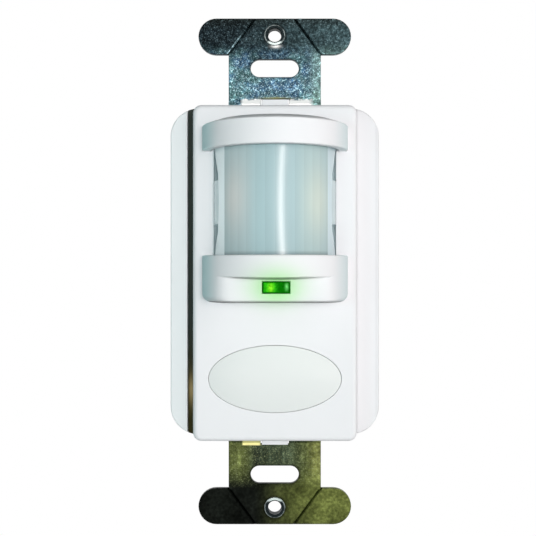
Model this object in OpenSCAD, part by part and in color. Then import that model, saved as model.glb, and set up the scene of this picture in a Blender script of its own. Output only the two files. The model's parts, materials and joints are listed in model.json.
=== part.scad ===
// Motion sensor light switch for a wall box: metal strap, white front with a
// half-round sensor lens between two visors, status light and oval push button.
// Millimetres. X to the right, Z up, front towards -Y.
// The origin is the middle of the strap ears' rear face, on the wall plane.

/* [Strap] */
// Length of the strap from ear tip to ear tip
strap_len = 103.7; // [101:0.1:112]
// Sheet thickness
strap_t = 1.3; // [1:0.1:1.6]
// How far the middle of the strap is pressed forward of the ears
strap_joggle = 0.6; // [0.4:0.1:1]
// Width of the shank between ears and cover
shank_w = 18.9; // [17:0.1:22]
// Width of the break-off ears
ear_w = 31.3; // [28:0.1:34]
// Height of the ears, also the diameter of their round ends
ear_h = 7.4; // [7:0.1:8.4]
// Distance between the two box screws
box_screw_spacing = 83.3; // [82.6:0.1:84]
// Length of a box screw slot
box_slot_len = 9.9; // [8:0.1:12]
// Width of a box screw slot
box_slot_w = 3.6; // [3.6:0.1:4.4]
// Distance between the two wall plate screws
plate_screw_spacing = 96.84; // [96:0.02:97.6]
// Bore of the threaded wall plate holes
plate_hole_d = 2.8; // [2.6:0.1:3.2]
// Depth of the V grooves where the ears snap off
score_depth = 0.3; // [0.25:0.05:0.6]

/* [Front cover] */
// Width of the front face
cover_w = 32.6; // [32:0.1:33.4]
// Height of the front face
cover_h = 66.8; // [66:0.1:67.6]
// How far the face stands in front of the ears
cover_rise = 7; // [6.6:0.1:9]
// How far the cover sits below the middle of the strap
cover_drop = 0.3; // [0:0.1:0.5]
// Thickness of the face
face_t = 2; // [1.6:0.1:2.2]
// Thickness of the side walls
cover_wall = 1.8; // [1.5:0.1:2]
// Corner radius of the face outline
cover_corner_r = 1.7; // [1.3:0.1:2.6]
// Radius of the soft edge around the face
cover_edge_r = 1; // [0.5:0.1:1.2]

/* [Visors] */
// Outer radius of the half-round visors
visor_r = 14.4; // [14:0.1:15]
// Wall of the visors
visor_wall = 1.8; // [1.5:0.1:1.9]
// Height of the visor above the lens
upper_visor_h = 5.25; // [5:0.05:5.6]
// Height of the visor below the lens
lower_visor_h = 8.8; // [8.6:0.1:10]
// Height from the lower visor's foot to the crease above its flat front
facet_h = 4.5; // [4.2:0.1:4.8]
// Width of the flat front of the lower visor
facet_w = 20; // [17:0.5:21]

/* [Lens] */
// Outer radius of the half-round lens
lens_r = 12; // [11.4:0.1:12.2]
// Wall of the lens at its thinnest
lens_t = 0.8; // [0.6:0.1:1]
// Height of the lens that shows between the visors
lens_window_h = 20.6; // [18:0.1:20.8]
// Height of the upper screws above the middle of the lens
lens_mid = 16.35; // [16.2:0.05:16.7]
// Flat sectors in the full circle of the lens's inner side
lens_sectors = 40; // [28:4:48]
// Radial step between neighbouring sectors
lens_step = 0.12; // [0.06:0.02:0.2]

/* [Button and light] */
// Width of the oval push button
button_w = 26.1; // [23:0.1:26.6]
// Height of the oval push button
button_h = 13.1; // [11:0.1:13.4]
// Depth of the lower screws below the middle of the button
button_drop = 8; // [7.7:0.1:8.4]
// Travel of the button until the switch closes
button_travel = 0.6; // [0.3:0.05:0.7]
// Slit around the button
button_gap = 0.15; // [0.1:0.05:0.3]
// Width of the status light window
led_w = 5.4; // [4:0.1:6]
// Height of the status light window
led_h = 2.4; // [1.6:0.1:2.5]

/* [Rear housing] */
// Width of the housing and of the wings beside the cover
housing_w = 42.6; // [41:0.2:46]
// Height of the housing
housing_h = 66.6; // [66.4:0.1:67.4]
// Corner radius of the housing outline
housing_r = 5.7; // [4.5:0.1:6.5]
// Depth of the housing behind the wall plane
housing_depth = 20.1; // [18.5:0.1:26]
// Wall of the housing
housing_wall = 1.8; // [1.5:0.1:2.1]
// Metal that shows between cover and left wing, measured from the cover edge
left_reveal = 1.4; // [1:0.1:1.6]
// The same distance on the right, where it hides behind the cover
right_reveal = 0.2; // [0.1:0.05:0.3]
// Holes for the wires in the rear wall
lead_hole_d = 4; // [3:0.1:4.4]

/* [Hidden] */
$fn = 64;
hull_fn = 32;

// Clearances
fit_gap = 0.1;
slide_gap = 0.1;
thread_gap = 0.05;
board_gap = 0.5;
past = 1;

// Planes along Y, front to rear
y_ear_front = -strap_t;
y_mid_back = -strap_joggle;
y_mid_front = y_mid_back - strap_t;
y_face = y_ear_front - cover_rise;
y_face_in = y_face + face_t;
deck_t = 2;
y_deck_back = y_mid_back + deck_t;
y_floor = housing_depth - housing_wall;
board_t = 1.6;
board_inset = 0.4;
y_sb_front = y_mid_front + board_inset;
y_sb_back = y_sb_front + board_t;
board_post_h = 2.1;
y_pb_back = y_floor - board_post_h;
y_pb_front = y_pb_back - board_t;

// Heights on the face, from the middle of the strap
cz = -cover_drop;
screw_inset_top = 3.4;
screw_inset_low = 4;
screw_top = min(housing_h / 2, cz + cover_h / 2 + fit_gap) - screw_inset_top;
screw_low = max(-housing_h / 2, cz - cover_h / 2 + fit_gap) + screw_inset_low;
z_lens = screw_top - lens_mid;
z_window_top = z_lens + lens_window_h / 2;
z_window_low = z_lens - lens_window_h / 2;
lens_tuck = 2.6;
z_lens_top = z_window_top + lens_tuck;
z_lens_low = z_window_low - lens_tuck;
z_upper_top = z_window_top + upper_visor_h;
z_lower_foot = z_window_low - lower_visor_h;
z_crease = z_lower_foot + facet_h;
shelf_t = 1.6;
visor_floor_t = 1.2;
z_led_roof = z_lens_low - shelf_t;
z_led_floor = z_lower_foot + visor_floor_t;
led_lift = 0.28;
z_led = z_led_floor + led_lift + led_h / 2;
z_button = screw_low + button_drop;

// Visors
upper_edge_r = 0.8;
lower_edge_r = 1.4;
lip_edge_r = 0.3;
visor_bury = 0.6;
visor_in_r = visor_r - visor_wall;
facet_p = sqrt(visor_r * visor_r - facet_w * facet_w / 4);
y_facet = y_face - facet_p;
y_facet_in = y_facet + visor_wall;
crease_r = 140;
crease_rise = crease_r - sqrt(crease_r * crease_r - visor_r * visor_r);

// Lens
lens_gap = 0.1;
window_half = lens_r + lens_gap;
lens_in_r = lens_r - lens_t;
lens_flange_t = 1;
lens_flange_w = 1.3;
lens_half_turns = lens_sectors / 2;
sector_angle = 180 / lens_half_turns;
fresnel_half = 54;
tab_half = lens_window_h * 0.205;
relief_depth = 4.7;
relief_flat = 1.4;
relief_tip = 2.4;
y_lens_back = y_face_in + lens_flange_t;
retainer_rim = 2;
side_wall_t = 0.8;
side_wall_p = 5;
wall_out_r = lens_in_r - lens_step - lens_gap;
wall_in_r = wall_out_r - side_wall_t;

// Front cover
cover_in_w = cover_w - 2 * cover_wall;
cover_in_h = cover_h - 2 * cover_wall;
hook_w = 5.3;
hook_t = 1.6;
hook_gap = 0.25;
hook_barb = 0.8;
hook_barb_t = 1;
hook_bridge = 1.7;
hook_root = 1;
z_hook = housing_h / 2 + hook_gap;
z_hook_tip = z_hook + hook_t;

// Screws that hold the stack from behind
screw_d = 2.2;
screw_head_d = 4;
screw_head_h = 1.6;
screw_drive_w = 0.8;
screw_drive_h = 0.7;
screw_pass_d = screw_d + 0.6;
screw_sink_d = screw_head_d + 0.5;
screw_grip = 3.2;
screw_end = 0.3;
boss_d = 5;
pillar_d = 6.5;
pillar_seat = 2.5;
y_screw_seat = y_deck_back + pillar_seat;
y_screw_tip = y_mid_front - screw_grip;
screw_x = cover_w / 2 - 4.8;

// Strap
ramp_run = 0.9;
z_ramp = z_hook_tip - ramp_run;
z_bend = z_hook_tip;
rail_left = -(cover_w / 2 + left_reveal);
rail_right = cover_w / 2 + right_reveal;
collar_d = plate_hole_d + 1.5;
collar_h = 1.2;
ring_h = 0.15;
score_in = shank_w / 2;
score_out = shank_w / 2 - 5.45;

// Button
button_crown = 0.9;
crown_inset = button_h / 2 - 0.4;
crown_rings = 6;
oval_points = 120;
flange_over = 0.9;
flange_t = 1;
stem_d = 4;
guide_d = 2;
guide_x = button_w / 2 - 4.6;
guide_reach = 0.9;
y_flange_front = y_face_in + fit_gap;
y_flange_back = y_flange_front + flange_t;
flange_w = button_w + 2 * flange_over;
flange_h = button_h + 2 * flange_over;
board_post_x = 10.3;
z_flange_side = z_button + flange_h / 2 * sqrt(1 - pow(2 * board_post_x / flange_w, 2));

// Small switch under the button
tact_w = 5.2;
tact_h = 1.8;
plunger_d = 2.6;
plunger_out = 0.9;
plunger_rest = 0.2;
y_tact_top = y_sb_front - tact_h;
y_plunger_top = y_tact_top - plunger_out;
y_plunger_foot = y_sb_front - button_travel - plunger_rest;

// Sensor board
sb_side = 1.3;
sb_w = cover_in_w - 2 * sb_side;
sb_under = 4.4;
sb_top = z_lens_top;
sb_low = z_button - sb_under;
sb_mid = (sb_top + sb_low) / 2;
sb_h = sb_top - sb_low;
opening_w = sb_w + 2 * board_gap;
opening_h = sb_h + 2 * board_gap;
board_post_d = 4.4;
z_board_post = (z_led_floor + z_flange_side) / 2;

// Small board screws
bscrew_d = 1.9;
bscrew_len = 3.6;
bscrew_head_d = 3.6;
bscrew_head_h = 1.2;
bscrew_drive_w = 0.6;
bscrew_drive_h = 0.5;
bscrew_pass_d = bscrew_d + 0.4;

// Heat sensor
pir_d = 8.2;
pir_foot_d = 9.1;
pir_foot_t = 0.5;
pir_h = 4.2;
pir_sink = 0.1;
pir_wall = 0.35;
pir_view_w = 4;
pir_view_h = 3;
pir_view_edge = 0.5;
pir_view_t = 0.4;
pir_lead_d = 0.45;
pir_lead_pass_d = 0.7;
pir_lead_ring = 2.54;
pir_lead_out = 0.6;
y_pir_top = y_face + pir_sink;
y_pir_foot = y_pir_top + pir_h;

// Status light
led_shift = 0.15;
chip_w = 3.2;
chip_h = 2.2;
chip_t = 1.6;
chip_cup_d = 1.7;
chip_cup_t = 0.4;
y_chip = y_sb_front - chip_t;
pipe_recess = 0.2;
pipe_flange_w = led_w + 2;
pipe_flange_t = 1;

// Rear housing
tub_edge_r = 1.2;
tub_draft = 0.3;
tub_in_w = housing_w - 2 * housing_wall - 2 * tub_draft;
tub_in_h = housing_h - 2 * housing_wall - 2 * tub_draft;
tub_in_r = housing_r - housing_wall;
rib_t = 1.2;
rib_h = 1.5;
rib_len = 34;
lead_pitch = 5.6;
lead_z = screw_top - 1.4;
tub_post_d = 4.6;

// Power board and its parts, placed from its sides and stacked down from the link strip
pb_side = 0.5;
pb_w = tub_in_w - 2 * pb_side;
pb_gap = 0.8;
pb_edge = pillar_d / 2 + pb_gap;
pb_top = screw_top - pb_edge;
pb_low = screw_low + pb_edge;
pb_mid = (pb_top + pb_low) / 2;
pb_h = pb_top - pb_low;
pb_screw_inset = 2.6;
pb_screw_x = pb_w / 2 - pb_screw_inset;
pb_screw_z = pb_h / 2 - pb_screw_inset;
relay_w = 15.4;
relay_d = 10.5;
relay_h = 19.6;
relay_side = 12.4;
relay_size = [relay_w, relay_d, relay_h];
relay_x = relay_side - pb_w / 2;
relay_base_t = 1;
relay_inset = 0.2;
film_w = 7;
film_d = 11;
film_h = 17.6;
film_side = 9.7;
film_size = [film_w, film_d, film_h];
film_x = pb_w / 2 - film_side;
bulk_d = 10;
bulk_h = 11.5;
bulk_crimp_r = 0.5;
bulk_crimp_at = 2.2;
bulk_side = 9.1;
bulk_x = bulk_side - pb_w / 2;
varistor_d = 9.5;
varistor_t = 4;
varistor_side = 10.1;
varistor_x = pb_w / 2 - varistor_side;
varistor_lift = 1;
varistor_pitch = 5;
bridge_w = 8.2;
bridge_d = 3.2;
bridge_h = 6.2;
bridge_size = [bridge_w, bridge_d, bridge_h];
wire_d = 0.7;
wire_run = 1.3;
leg_w = 0.5;
leg_t = 0.8;
leg_out = 0.9;
mcu_w = 9.6;
mcu_t = 1.6;
mcu_h = 5.8;
mcu_size = [mcu_w, mcu_t, mcu_h];
mcu_z = z_led;
mcu_legs = 7;
bridge_legs = 2;
link_count = 6;
link_pitch = 2.54;
link_w = 0.64;
link_hole = link_w + 2 * thread_gap;
link_strip = 2.5;
link_x = -5.6;
link_below = 7.85;
link_z = sb_top - link_below;
resistor_d = 3.2;
resistor_len = 8.6;
resistor_lift = 0.2;
resistor_gap = 0.5;
resistor_below = 0.8;
resistor_x = link_x + (link_count * link_pitch + resistor_len) / 2 + wire_run + resistor_gap;
resistor_z = link_z - resistor_below;
bridge_below = 6.4;
bridge_z = resistor_z - bridge_below;
varistor_below = 7.6;
varistor_z = bridge_z - varistor_below;
film_below = 13.4;
film_z = varistor_z - film_below;
bulk_below = 9.6;
bulk_z = link_z - bulk_below;
relay_below = 16.2;
relay_z = bulk_z - relay_below;

// Colours
white = [0.93, 0.95, 0.94];
zinc = [0.55, 0.58, 0.56];
milky = [0.78, 0.87, 0.88];
black = [0.07, 0.07, 0.08];
grey = [0.3, 0.31, 0.32];
board_green = [0.05, 0.3, 0.16];
lamp_green = [0.15, 0.8, 0.1];
steel = [0.72, 0.73, 0.75];
gold = [0.8, 0.65, 0.25];
amber = [0.85, 0.55, 0.12];
cobalt = [0.1, 0.2, 0.55];

// Drawing helpers

// Carries a flat outline, drawn as X and Z, from one Y plane to another.
module along_y(y0, y1)
    translate([0, y1, 0])
        rotate([90, 0, 0])
            linear_extrude(y1 - y0)
                children();

// Turns a profile of radius and height about a line along Y, height towards the front.
module turned_y(x, z, y_base)
    translate([x, y_base, z])
        rotate([90, 0, 0])
            rotate_extrude()
                children();

module rod_y(d, x, z, y0, y1)
    translate([x, y1, z])
        rotate([90, 0, 0])
            cylinder(d = d, h = y1 - y0);

module rod_x(d, x0, x1, y, z)
    translate([x0, y, z])
        rotate([0, 90, 0])
            cylinder(d = d, h = x1 - x0);

// Block of width, depth and height about x and z, from one Y plane rearwards.
module block(size, x, y0, z)
    translate([x - size[0] / 2, y0, z - size[2] / 2])
        cube(size);

module slab(w, y0, y1, za, zb)
    translate([-w / 2, y0, min(za, zb)])
        cube([w, y1 - y0, abs(zb - za)]);

module round_plate(w, h, r) {
    square([w - 2 * r, h], center = true);
    square([w, h - 2 * r], center = true);
    for (sx = [-1, 1], sz = [-1, 1])
        translate([sx * (w / 2 - r), sz * (h / 2 - r)])
            circle(r);
}

module oval(w, h)
    polygon([for (i = [0 : oval_points - 1])
        [w / 2 * cos(i * 360 / oval_points), h / 2 * sin(i * 360 / oval_points)]]);

module at_screws()
    for (sx = [-1, 1], z = [screw_top, screw_low])
        translate([sx * screw_x, 0, z])
            children();

module at_board_posts()
    for (sx = [-1, 1])
        translate([sx * board_post_x, 0, z_board_post])
            children();

module at_tub_posts()
    for (sx = [-1, 1], sz = [-1, 1])
        translate([sx * pb_screw_x, 0, pb_mid + sz * pb_screw_z])
            children();

module at_pir_leads()
    for (a = [45, 135, 270])
        translate([pir_lead_ring * cos(a), 0, z_lens + pir_lead_ring * sin(a)])
            children();

module at_link_pins()
    for (i = [0 : link_count - 1])
        translate([link_x + (i - (link_count - 1) / 2) * link_pitch, 0, link_z])
            children();

// Strap

module ear_outline(side)
    translate([0, side * (strap_len - ear_h) / 2]) {
        square([ear_w - ear_h, ear_h], center = true);
        for (sx = [-1, 1])
            translate([sx * (ear_w - ear_h) / 2, 0])
                circle(d = ear_h);
    }

// The middle follows the housing outline between the two wings.
module strap_outline() {
    square([shank_w, strap_len], center = true);
    for (side = [-1, 1])
        ear_outline(side);
    intersection() {
        round_plate(housing_w, housing_h, housing_r);
        translate([rail_left, -housing_h / 2])
            square([rail_right - rail_left, housing_h]);
    }
}

// Side view of the bent sheet, drawn as Y and Z, carried across the width.
module strap_sheet() {
    tip = strap_len / 2;
    translate([-ear_w, 0, 0])
        rotate([90, 0, 90])
            linear_extrude(2 * ear_w)
                polygon([
                    [0, -tip], [0, -z_bend], [y_mid_back, -z_ramp],
                    [y_mid_back, z_ramp], [0, z_bend], [0, tip],
                    [y_ear_front, tip], [y_ear_front, z_bend], [y_mid_front, z_ramp],
                    [y_mid_front, -z_ramp], [y_ear_front, -z_bend], [y_ear_front, -tip]]);
}

// V groove from the inner corner of an ear to its outer edge.
module score_groove(sx, side) {
    dx = sx * (score_out - score_in);
    dz = side * ear_h;
    across = score_depth * sqrt(2);
    translate([sx * (score_in + score_out) / 2, y_ear_front, side * (strap_len - ear_h) / 2])
        rotate([0, -atan2(dz, dx), 0])
            rotate([45, 0, 0])
                cube([norm([dx, dz]) + 2 * past, across, across], center = true);
}

module box_slot(side)
    translate([0, 0, side * box_screw_spacing / 2])
        along_y(y_ear_front - past, past) {
            square([box_slot_len - box_slot_w, box_slot_w], center = true);
            for (sx = [-1, 1])
                translate([sx * (box_slot_len - box_slot_w) / 2, 0])
                    circle(d = box_slot_w);
        }

module mounting_strap()
    color(zinc)
        difference() {
            union() {
                intersection() {
                    strap_sheet();
                    along_y(y_mid_front - past, past)
                        strap_outline();
                }
                for (side = [-1, 1])
                    rod_y(collar_d, 0, side * plate_screw_spacing / 2, y_ear_front - ring_h, collar_h);
            }
            for (side = [-1, 1]) {
                rod_y(plate_hole_d, 0, side * plate_screw_spacing / 2, y_mid_front - past, collar_h + past);
                box_slot(side);
                for (sx = [-1, 1])
                    score_groove(sx, side);
                slab(hook_w + 2 * hook_gap, y_mid_front - past, past,
                    side * (z_hook - hook_gap), side * (z_hook_tip + hook_gap));
            }
            translate([0, 0, sb_mid])
                along_y(y_mid_front - past, past)
                    square([opening_w, opening_h], center = true);
            at_screws()
                rod_y(screw_pass_d, 0, 0, y_mid_front - past, past);
        }

// Front cover

// Half section of a round visor: radius across, height up, each rim rounded.
module visor_profile(h, r_low, r_high) {
    square([visor_r - r_low, r_low]);
    translate([visor_r - r_low, r_low])
        circle(r_low);
    translate([0, r_low])
        square([visor_r, h - r_low - r_high]);
    translate([0, h - r_high])
        square([visor_r - r_high, r_high]);
    translate([visor_r - r_high, h - r_high])
        circle(r_high);
}

module front_of(y_rear, z0, z1)
    slab(4 * visor_r, y_rear - 3 * visor_r, y_rear, z0, z1);

module half_drum(r, y_rear, z0, z1)
    intersection() {
        translate([0, y_face, z0])
            cylinder(r = r, h = z1 - z0);
        front_of(y_rear, z0, z1);
    }

module upper_visor()
    intersection() {
        translate([0, y_face, z_window_top])
            rotate_extrude()
                visor_profile(upper_visor_h, lip_edge_r, upper_edge_r);
        front_of(y_face + visor_bury, z_window_top, z_upper_top);
    }

// The lower visor is planed flat below a slightly bowed crease.
module lower_visor()
    difference() {
        intersection() {
            translate([0, y_face, z_lower_foot])
                rotate_extrude()
                    visor_profile(lower_visor_h, lower_edge_r, lip_edge_r);
            front_of(y_face + visor_bury, z_lower_foot, z_window_low);
        }
        difference() {
            front_of(y_facet, z_lower_foot - past, z_crease + crease_rise);
            rod_y(2 * crease_r, 0, z_crease + crease_r, y_facet - 4 * visor_r, y_facet + past);
        }
    }

module cover_block()
    translate([0, 0, cz])
        hull() {
            along_y(y_face + cover_edge_r, y_mid_front)
                round_plate(cover_w, cover_h, cover_corner_r, $fn = hull_fn);
            for (a = [0 : 15 : 75])
                along_y(y_face + cover_edge_r * (1 - cos(a)), y_face + cover_edge_r)
                    round_plate(cover_w - 2 * cover_edge_r * (1 - sin(a)),
                        cover_h - 2 * cover_edge_r * (1 - sin(a)),
                        cover_corner_r - cover_edge_r * (1 - sin(a)), $fn = hull_fn);
        }

module cover_shell()
    difference() {
        cover_block();
        translate([0, 0, cz])
            along_y(y_face_in, y_mid_front + past)
                square([cover_in_w, cover_in_h], center = true);
    }

// Snap hook: a tab over the strap, an arm through it and a barb behind it.
module snap_hook(side) {
    y_tab = y_mid_front - hook_bridge;
    y_barb = fit_gap + hook_barb_t;
    slab(hook_w, y_tab, y_mid_front - fit_gap, cz + side * (cover_h / 2 - hook_root), side * z_hook_tip);
    slab(hook_w, y_tab, y_barb, side * z_hook, side * z_hook_tip);
    slab(hook_w, fit_gap, y_barb, side * z_hook, side * (z_hook_tip + hook_barb));
}

// Room for the lens behind the visors and through the face.
module lens_room() {
    half_drum(visor_in_r, y_face, z_lens_low, z_lens_top + fit_gap);
    slab(2 * window_half, y_face - lens_gap, y_face_in + past, z_lens_low, z_lens_top + fit_gap);
}

// Room for the light pipe behind the flat front of the lower visor.
module light_room() {
    intersection() {
        half_drum(visor_in_r, y_face, z_led_floor, z_led_roof);
        slab(4 * visor_r, y_facet_in, y_face, z_led_floor, z_led_roof);
    }
    slab(2 * window_half, y_face - lens_gap, y_face_in + past, z_led_floor, z_led_roof);
    block([led_w, visor_wall + 2 * past, led_h], led_shift, y_facet - past, z_led);
}

module front_cover()
    color(white)
        difference() {
            union() {
                cover_shell();
                upper_visor();
                lower_visor();
                for (side = [-1, 1])
                    snap_hook(side);
                at_screws()
                    rod_y(boss_d, 0, 0, y_face_in - visor_bury, y_mid_front);
                at_board_posts()
                    rod_y(board_post_d, 0, 0, y_face_in - visor_bury, y_sb_front);
            }
            lens_room();
            light_room();
            translate([0, 0, z_button])
                along_y(y_face - past, y_face_in + past)
                    oval(button_w + 2 * button_gap, button_h + 2 * button_gap);
            at_screws()
                rod_y(screw_d + 2 * thread_gap, 0, 0, y_screw_tip - screw_end, y_mid_front + past);
            at_board_posts()
                rod_y(bscrew_d + 2 * thread_gap, 0, 0, y_sb_back - bscrew_len - screw_end, y_sb_front + past);
        }

// Housing

module wing(x0, x1)
    along_y(y_mid_front, y_mid_back + past)
        intersection() {
            round_plate(housing_w, housing_h, housing_r);
            translate([x0, -housing_h / 2])
                square([x1 - x0, housing_h]);
        }

// Deck under the strap, with a raised wing on each side and ribs into the housing.
module mid_frame()
    color(white)
        difference() {
            union() {
                along_y(y_mid_back, y_deck_back)
                    round_plate(housing_w, housing_h, housing_r);
                wing(-housing_w / 2, rail_left - fit_gap);
                wing(rail_right + fit_gap, housing_w / 2);
                for (sx = [-1, 1])
                    block([rib_t, rib_h + past, rib_len], sx * (tub_in_w / 2 - fit_gap - rib_t / 2),
                        y_deck_back - past, 0);
            }
            translate([0, 0, sb_mid])
                along_y(y_mid_back - past, y_deck_back + past)
                    square([opening_w, opening_h], center = true);
            at_screws()
                rod_y(screw_pass_d, 0, 0, y_mid_back - past, y_deck_back + past);
        }

module tub_block()
    hull() {
        along_y(y_deck_back, y_deck_back + housing_wall)
            round_plate(housing_w, housing_h, housing_r, $fn = hull_fn);
        for (a = [0 : 15 : 90])
            along_y(y_floor, housing_depth - tub_edge_r * (1 - sin(a)))
                round_plate(housing_w - 2 * tub_draft - 2 * tub_edge_r * (1 - cos(a)),
                    housing_h - 2 * tub_draft - 2 * tub_edge_r * (1 - cos(a)),
                    housing_r - tub_draft - tub_edge_r * (1 - cos(a)), $fn = hull_fn);
    }

module rear_housing()
    color(white)
        difference() {
            union() {
                difference() {
                    tub_block();
                    along_y(y_deck_back - past, y_floor)
                        round_plate(tub_in_w, tub_in_h, tub_in_r);
                }
                intersection() {
                    at_screws()
                        rod_y(pillar_d, 0, 0, y_deck_back, y_floor + housing_wall / 2);
                    along_y(y_deck_back, y_floor + housing_wall / 2)
                        square([tub_in_w + housing_wall, tub_in_h + housing_wall], center = true);
                }
                at_tub_posts()
                    rod_y(tub_post_d, 0, 0, y_pb_back, y_floor + housing_wall / 2);
            }
            at_screws() {
                rod_y(screw_pass_d, 0, 0, y_deck_back - past, y_screw_seat + past);
                rod_y(screw_sink_d, 0, 0, y_screw_seat, housing_depth + past);
            }
            at_tub_posts()
                rod_y(bscrew_d + 2 * thread_gap, 0, 0, y_pb_back - past, y_pb_front + bscrew_len + screw_end);
            for (i = [-1 : 1])
                rod_y(lead_hole_d, i * lead_pitch, lead_z, y_floor - past, housing_depth + past);
        }

// Screws

module screw(d, head_d, head_h, drive_w, drive_h, reach)
    difference() {
        union() {
            rod_y(head_d, 0, 0, 0, head_h);
            rod_y(d, 0, 0, -reach, head_h / 2);
        }
        for (turn = [0, 90])
            rotate([0, turn, 0])
                block([head_d - drive_w, drive_h + past, drive_w], 0, head_h - drive_h, 0);
    }

module housing_screws()
    color(steel)
        at_screws()
            translate([0, y_screw_seat, 0])
                screw(screw_d, screw_head_d, screw_head_h, screw_drive_w, screw_drive_h,
                    y_screw_seat - y_screw_tip);

module board_screws()
    color(steel) {
        at_board_posts()
            translate([0, y_sb_back, 0])
                screw(bscrew_d, bscrew_head_d, bscrew_head_h, bscrew_drive_w, bscrew_drive_h, bscrew_len);
        at_tub_posts()
            translate([0, y_pb_front, 0])
                mirror([0, 1, 0])
                    screw(bscrew_d, bscrew_head_d, bscrew_head_h, bscrew_drive_w, bscrew_drive_h, bscrew_len);
    }

// Lens and light

function tooth(a) = abs(a) < fresnel_half ? lens_step : 0;

function at_angle(r, a) = [r * sin(a), y_face - r * cos(a)];

// Inner side of the lens: flat sectors with a small step towards the middle one.
module lens_inside()
    polygon(concat(
        [for (i = [0 : lens_half_turns - 1], end = [0, 1])
            let (a = -90 + (i + end) * sector_angle, middle = -90 + (i + 0.5) * sector_angle)
                at_angle(lens_in_r - (abs(a) < abs(middle) ? tooth(middle) : 0), a)],
        [[lens_in_r, y_lens_back + past], [-lens_in_r, y_lens_back + past]]));

module lens_section() {
    difference() {
        union() {
            intersection() {
                translate([0, y_face])
                    circle(lens_r);
                translate([-lens_r, y_face - lens_r])
                    square([2 * lens_r, lens_r]);
            }
            translate([-lens_r, y_face - lens_gap])
                square([2 * lens_r, y_lens_back - y_face + lens_gap]);
            translate([-lens_r - lens_flange_w, y_face_in])
                square([2 * (lens_r + lens_flange_w), lens_flange_t]);
        }
        lens_inside();
    }
}

// Slanted relief through both sides and the flange, above and below the middle tab.
module lens_relief(side)
    translate([-2 * lens_r, 0, z_lens])
        rotate([90, 0, 90])
            linear_extrude(4 * lens_r)
                polygon([
                    [y_lens_back + past, side * tab_half],
                    [y_face - relief_depth, side * tab_half],
                    [y_face - relief_depth, side * (tab_half + relief_flat)],
                    [y_face - relief_tip, side * lens_window_h / 2],
                    [y_lens_back + past, side * lens_window_h / 2]]);

module fresnel_lens()
    color(milky)
        difference() {
            translate([0, 0, z_lens_low])
                linear_extrude(z_lens_top - z_lens_low)
                    lens_section();
            for (side = [-1, 1])
                lens_relief(side);
        }

// Curved side walls just behind the lens, which shade the sensor from the sides.
module side_walls()
    linear_extrude(lens_window_h, center = true)
        difference() {
            union() {
                intersection() {
                    translate([0, y_face])
                        circle(wall_out_r);
                    translate([-lens_r, y_face - side_wall_p])
                        square([2 * lens_r, side_wall_p]);
                }
                translate([-wall_out_r, y_face])
                    square([2 * wall_out_r, y_lens_back + past - y_face]);
            }
            translate([0, y_face])
                circle(wall_in_r);
            translate([-wall_in_r, y_face])
                square([2 * wall_in_r, y_lens_back + 2 * past - y_face]);
        }

module lens_retainer()
    color(black) {
        difference() {
            slab(2 * (lens_r + lens_flange_w), y_lens_back, y_sb_front, z_lens_low, z_lens_top);
            slab(2 * wall_in_r, y_lens_back - past, y_sb_front + past,
                z_lens_low + retainer_rim, z_lens_top - retainer_rim);
        }
        translate([0, 0, z_lens])
            side_walls();
    }

module light_pipe()
    color(lamp_green) {
        block([led_w - 2 * fit_gap, y_chip - y_facet - pipe_recess, led_h - 2 * fit_gap], led_shift,
            y_facet + pipe_recess, z_led);
        block([pipe_flange_w, pipe_flange_t, z_led_roof - z_led_floor - 2 * fit_gap], led_shift,
            y_facet_in, (z_led_roof + z_led_floor) / 2);
    }

module status_led()
    color(white)
        difference() {
            block([chip_w, chip_t, chip_h], led_shift, y_chip, z_led);
            rod_y(chip_cup_d, led_shift, z_led, y_chip - past, y_chip + chip_cup_t);
        }

// Button

module push_button()
    color(white) {
        translate([0, 0, z_button]) {
            hull() {
                along_y(y_face, y_flange_front)
                    oval(button_w, button_h);
                for (ring = [1 : crown_rings])
                    along_y(y_face - button_crown * (1 - pow(1 - ring / crown_rings, 2)), y_flange_front)
                        oval(button_w - 2 * crown_inset * ring / crown_rings,
                            button_h - 2 * crown_inset * ring / crown_rings);
            }
            along_y(y_flange_front, y_flange_back)
                oval(flange_w, flange_h);
        }
        rod_y(stem_d, 0, z_button, y_flange_front, y_plunger_top);
        for (sx = [-1, 1])
            rod_y(guide_d, sx * guide_x, z_button, y_flange_front, y_sb_front + guide_reach);
    }

module tact_plunger()
    color(black)
        rod_y(plunger_d, 0, z_button, y_plunger_top, y_plunger_foot);

module tact_switch()
    color(steel)
        difference() {
            block([tact_w, tact_h, tact_w], 0, y_tact_top, z_button);
            rod_y(plunger_d + 2 * slide_gap, 0, z_button, y_tact_top - past, y_sb_front + past);
        }

// Sensor board

module sensor_board()
    color(board_green)
        difference() {
            block([sb_w, board_t, sb_h], 0, y_sb_front, sb_mid);
            for (sx = [-1, 1])
                rod_y(guide_d + 2 * slide_gap, sx * guide_x, z_button, y_sb_front - past, y_sb_back + past);
            at_board_posts()
                rod_y(bscrew_pass_d, 0, 0, y_sb_front - past, y_sb_back + past);
            at_pir_leads()
                rod_y(pir_lead_pass_d, 0, 0, y_sb_front - past, y_sb_back + past);
        }

module pir_spacer()
    color(white)
        difference() {
            rod_y(pir_foot_d, 0, z_lens, y_pir_foot, y_sb_front);
            at_pir_leads()
                rod_y(pir_lead_pass_d, 0, 0, y_pir_foot - past, y_sb_front + past);
        }

module pir_can()
    color(steel)
        difference() {
            union() {
                rod_y(pir_foot_d, 0, z_lens, y_pir_foot - pir_foot_t, y_pir_foot);
                rod_y(pir_d, 0, z_lens, y_pir_top, y_pir_foot);
            }
            rod_y(pir_d - 2 * pir_wall, 0, z_lens, y_pir_top + pir_wall, y_pir_foot - pir_foot_t);
            block([pir_view_w, 2 * past, pir_view_h], 0, y_pir_top - past, z_lens);
        }

module pir_filter()
    color(black)
        block([pir_view_w + 2 * pir_view_edge, pir_view_t, pir_view_h + 2 * pir_view_edge], 0,
            y_pir_top + pir_wall, z_lens);

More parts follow.
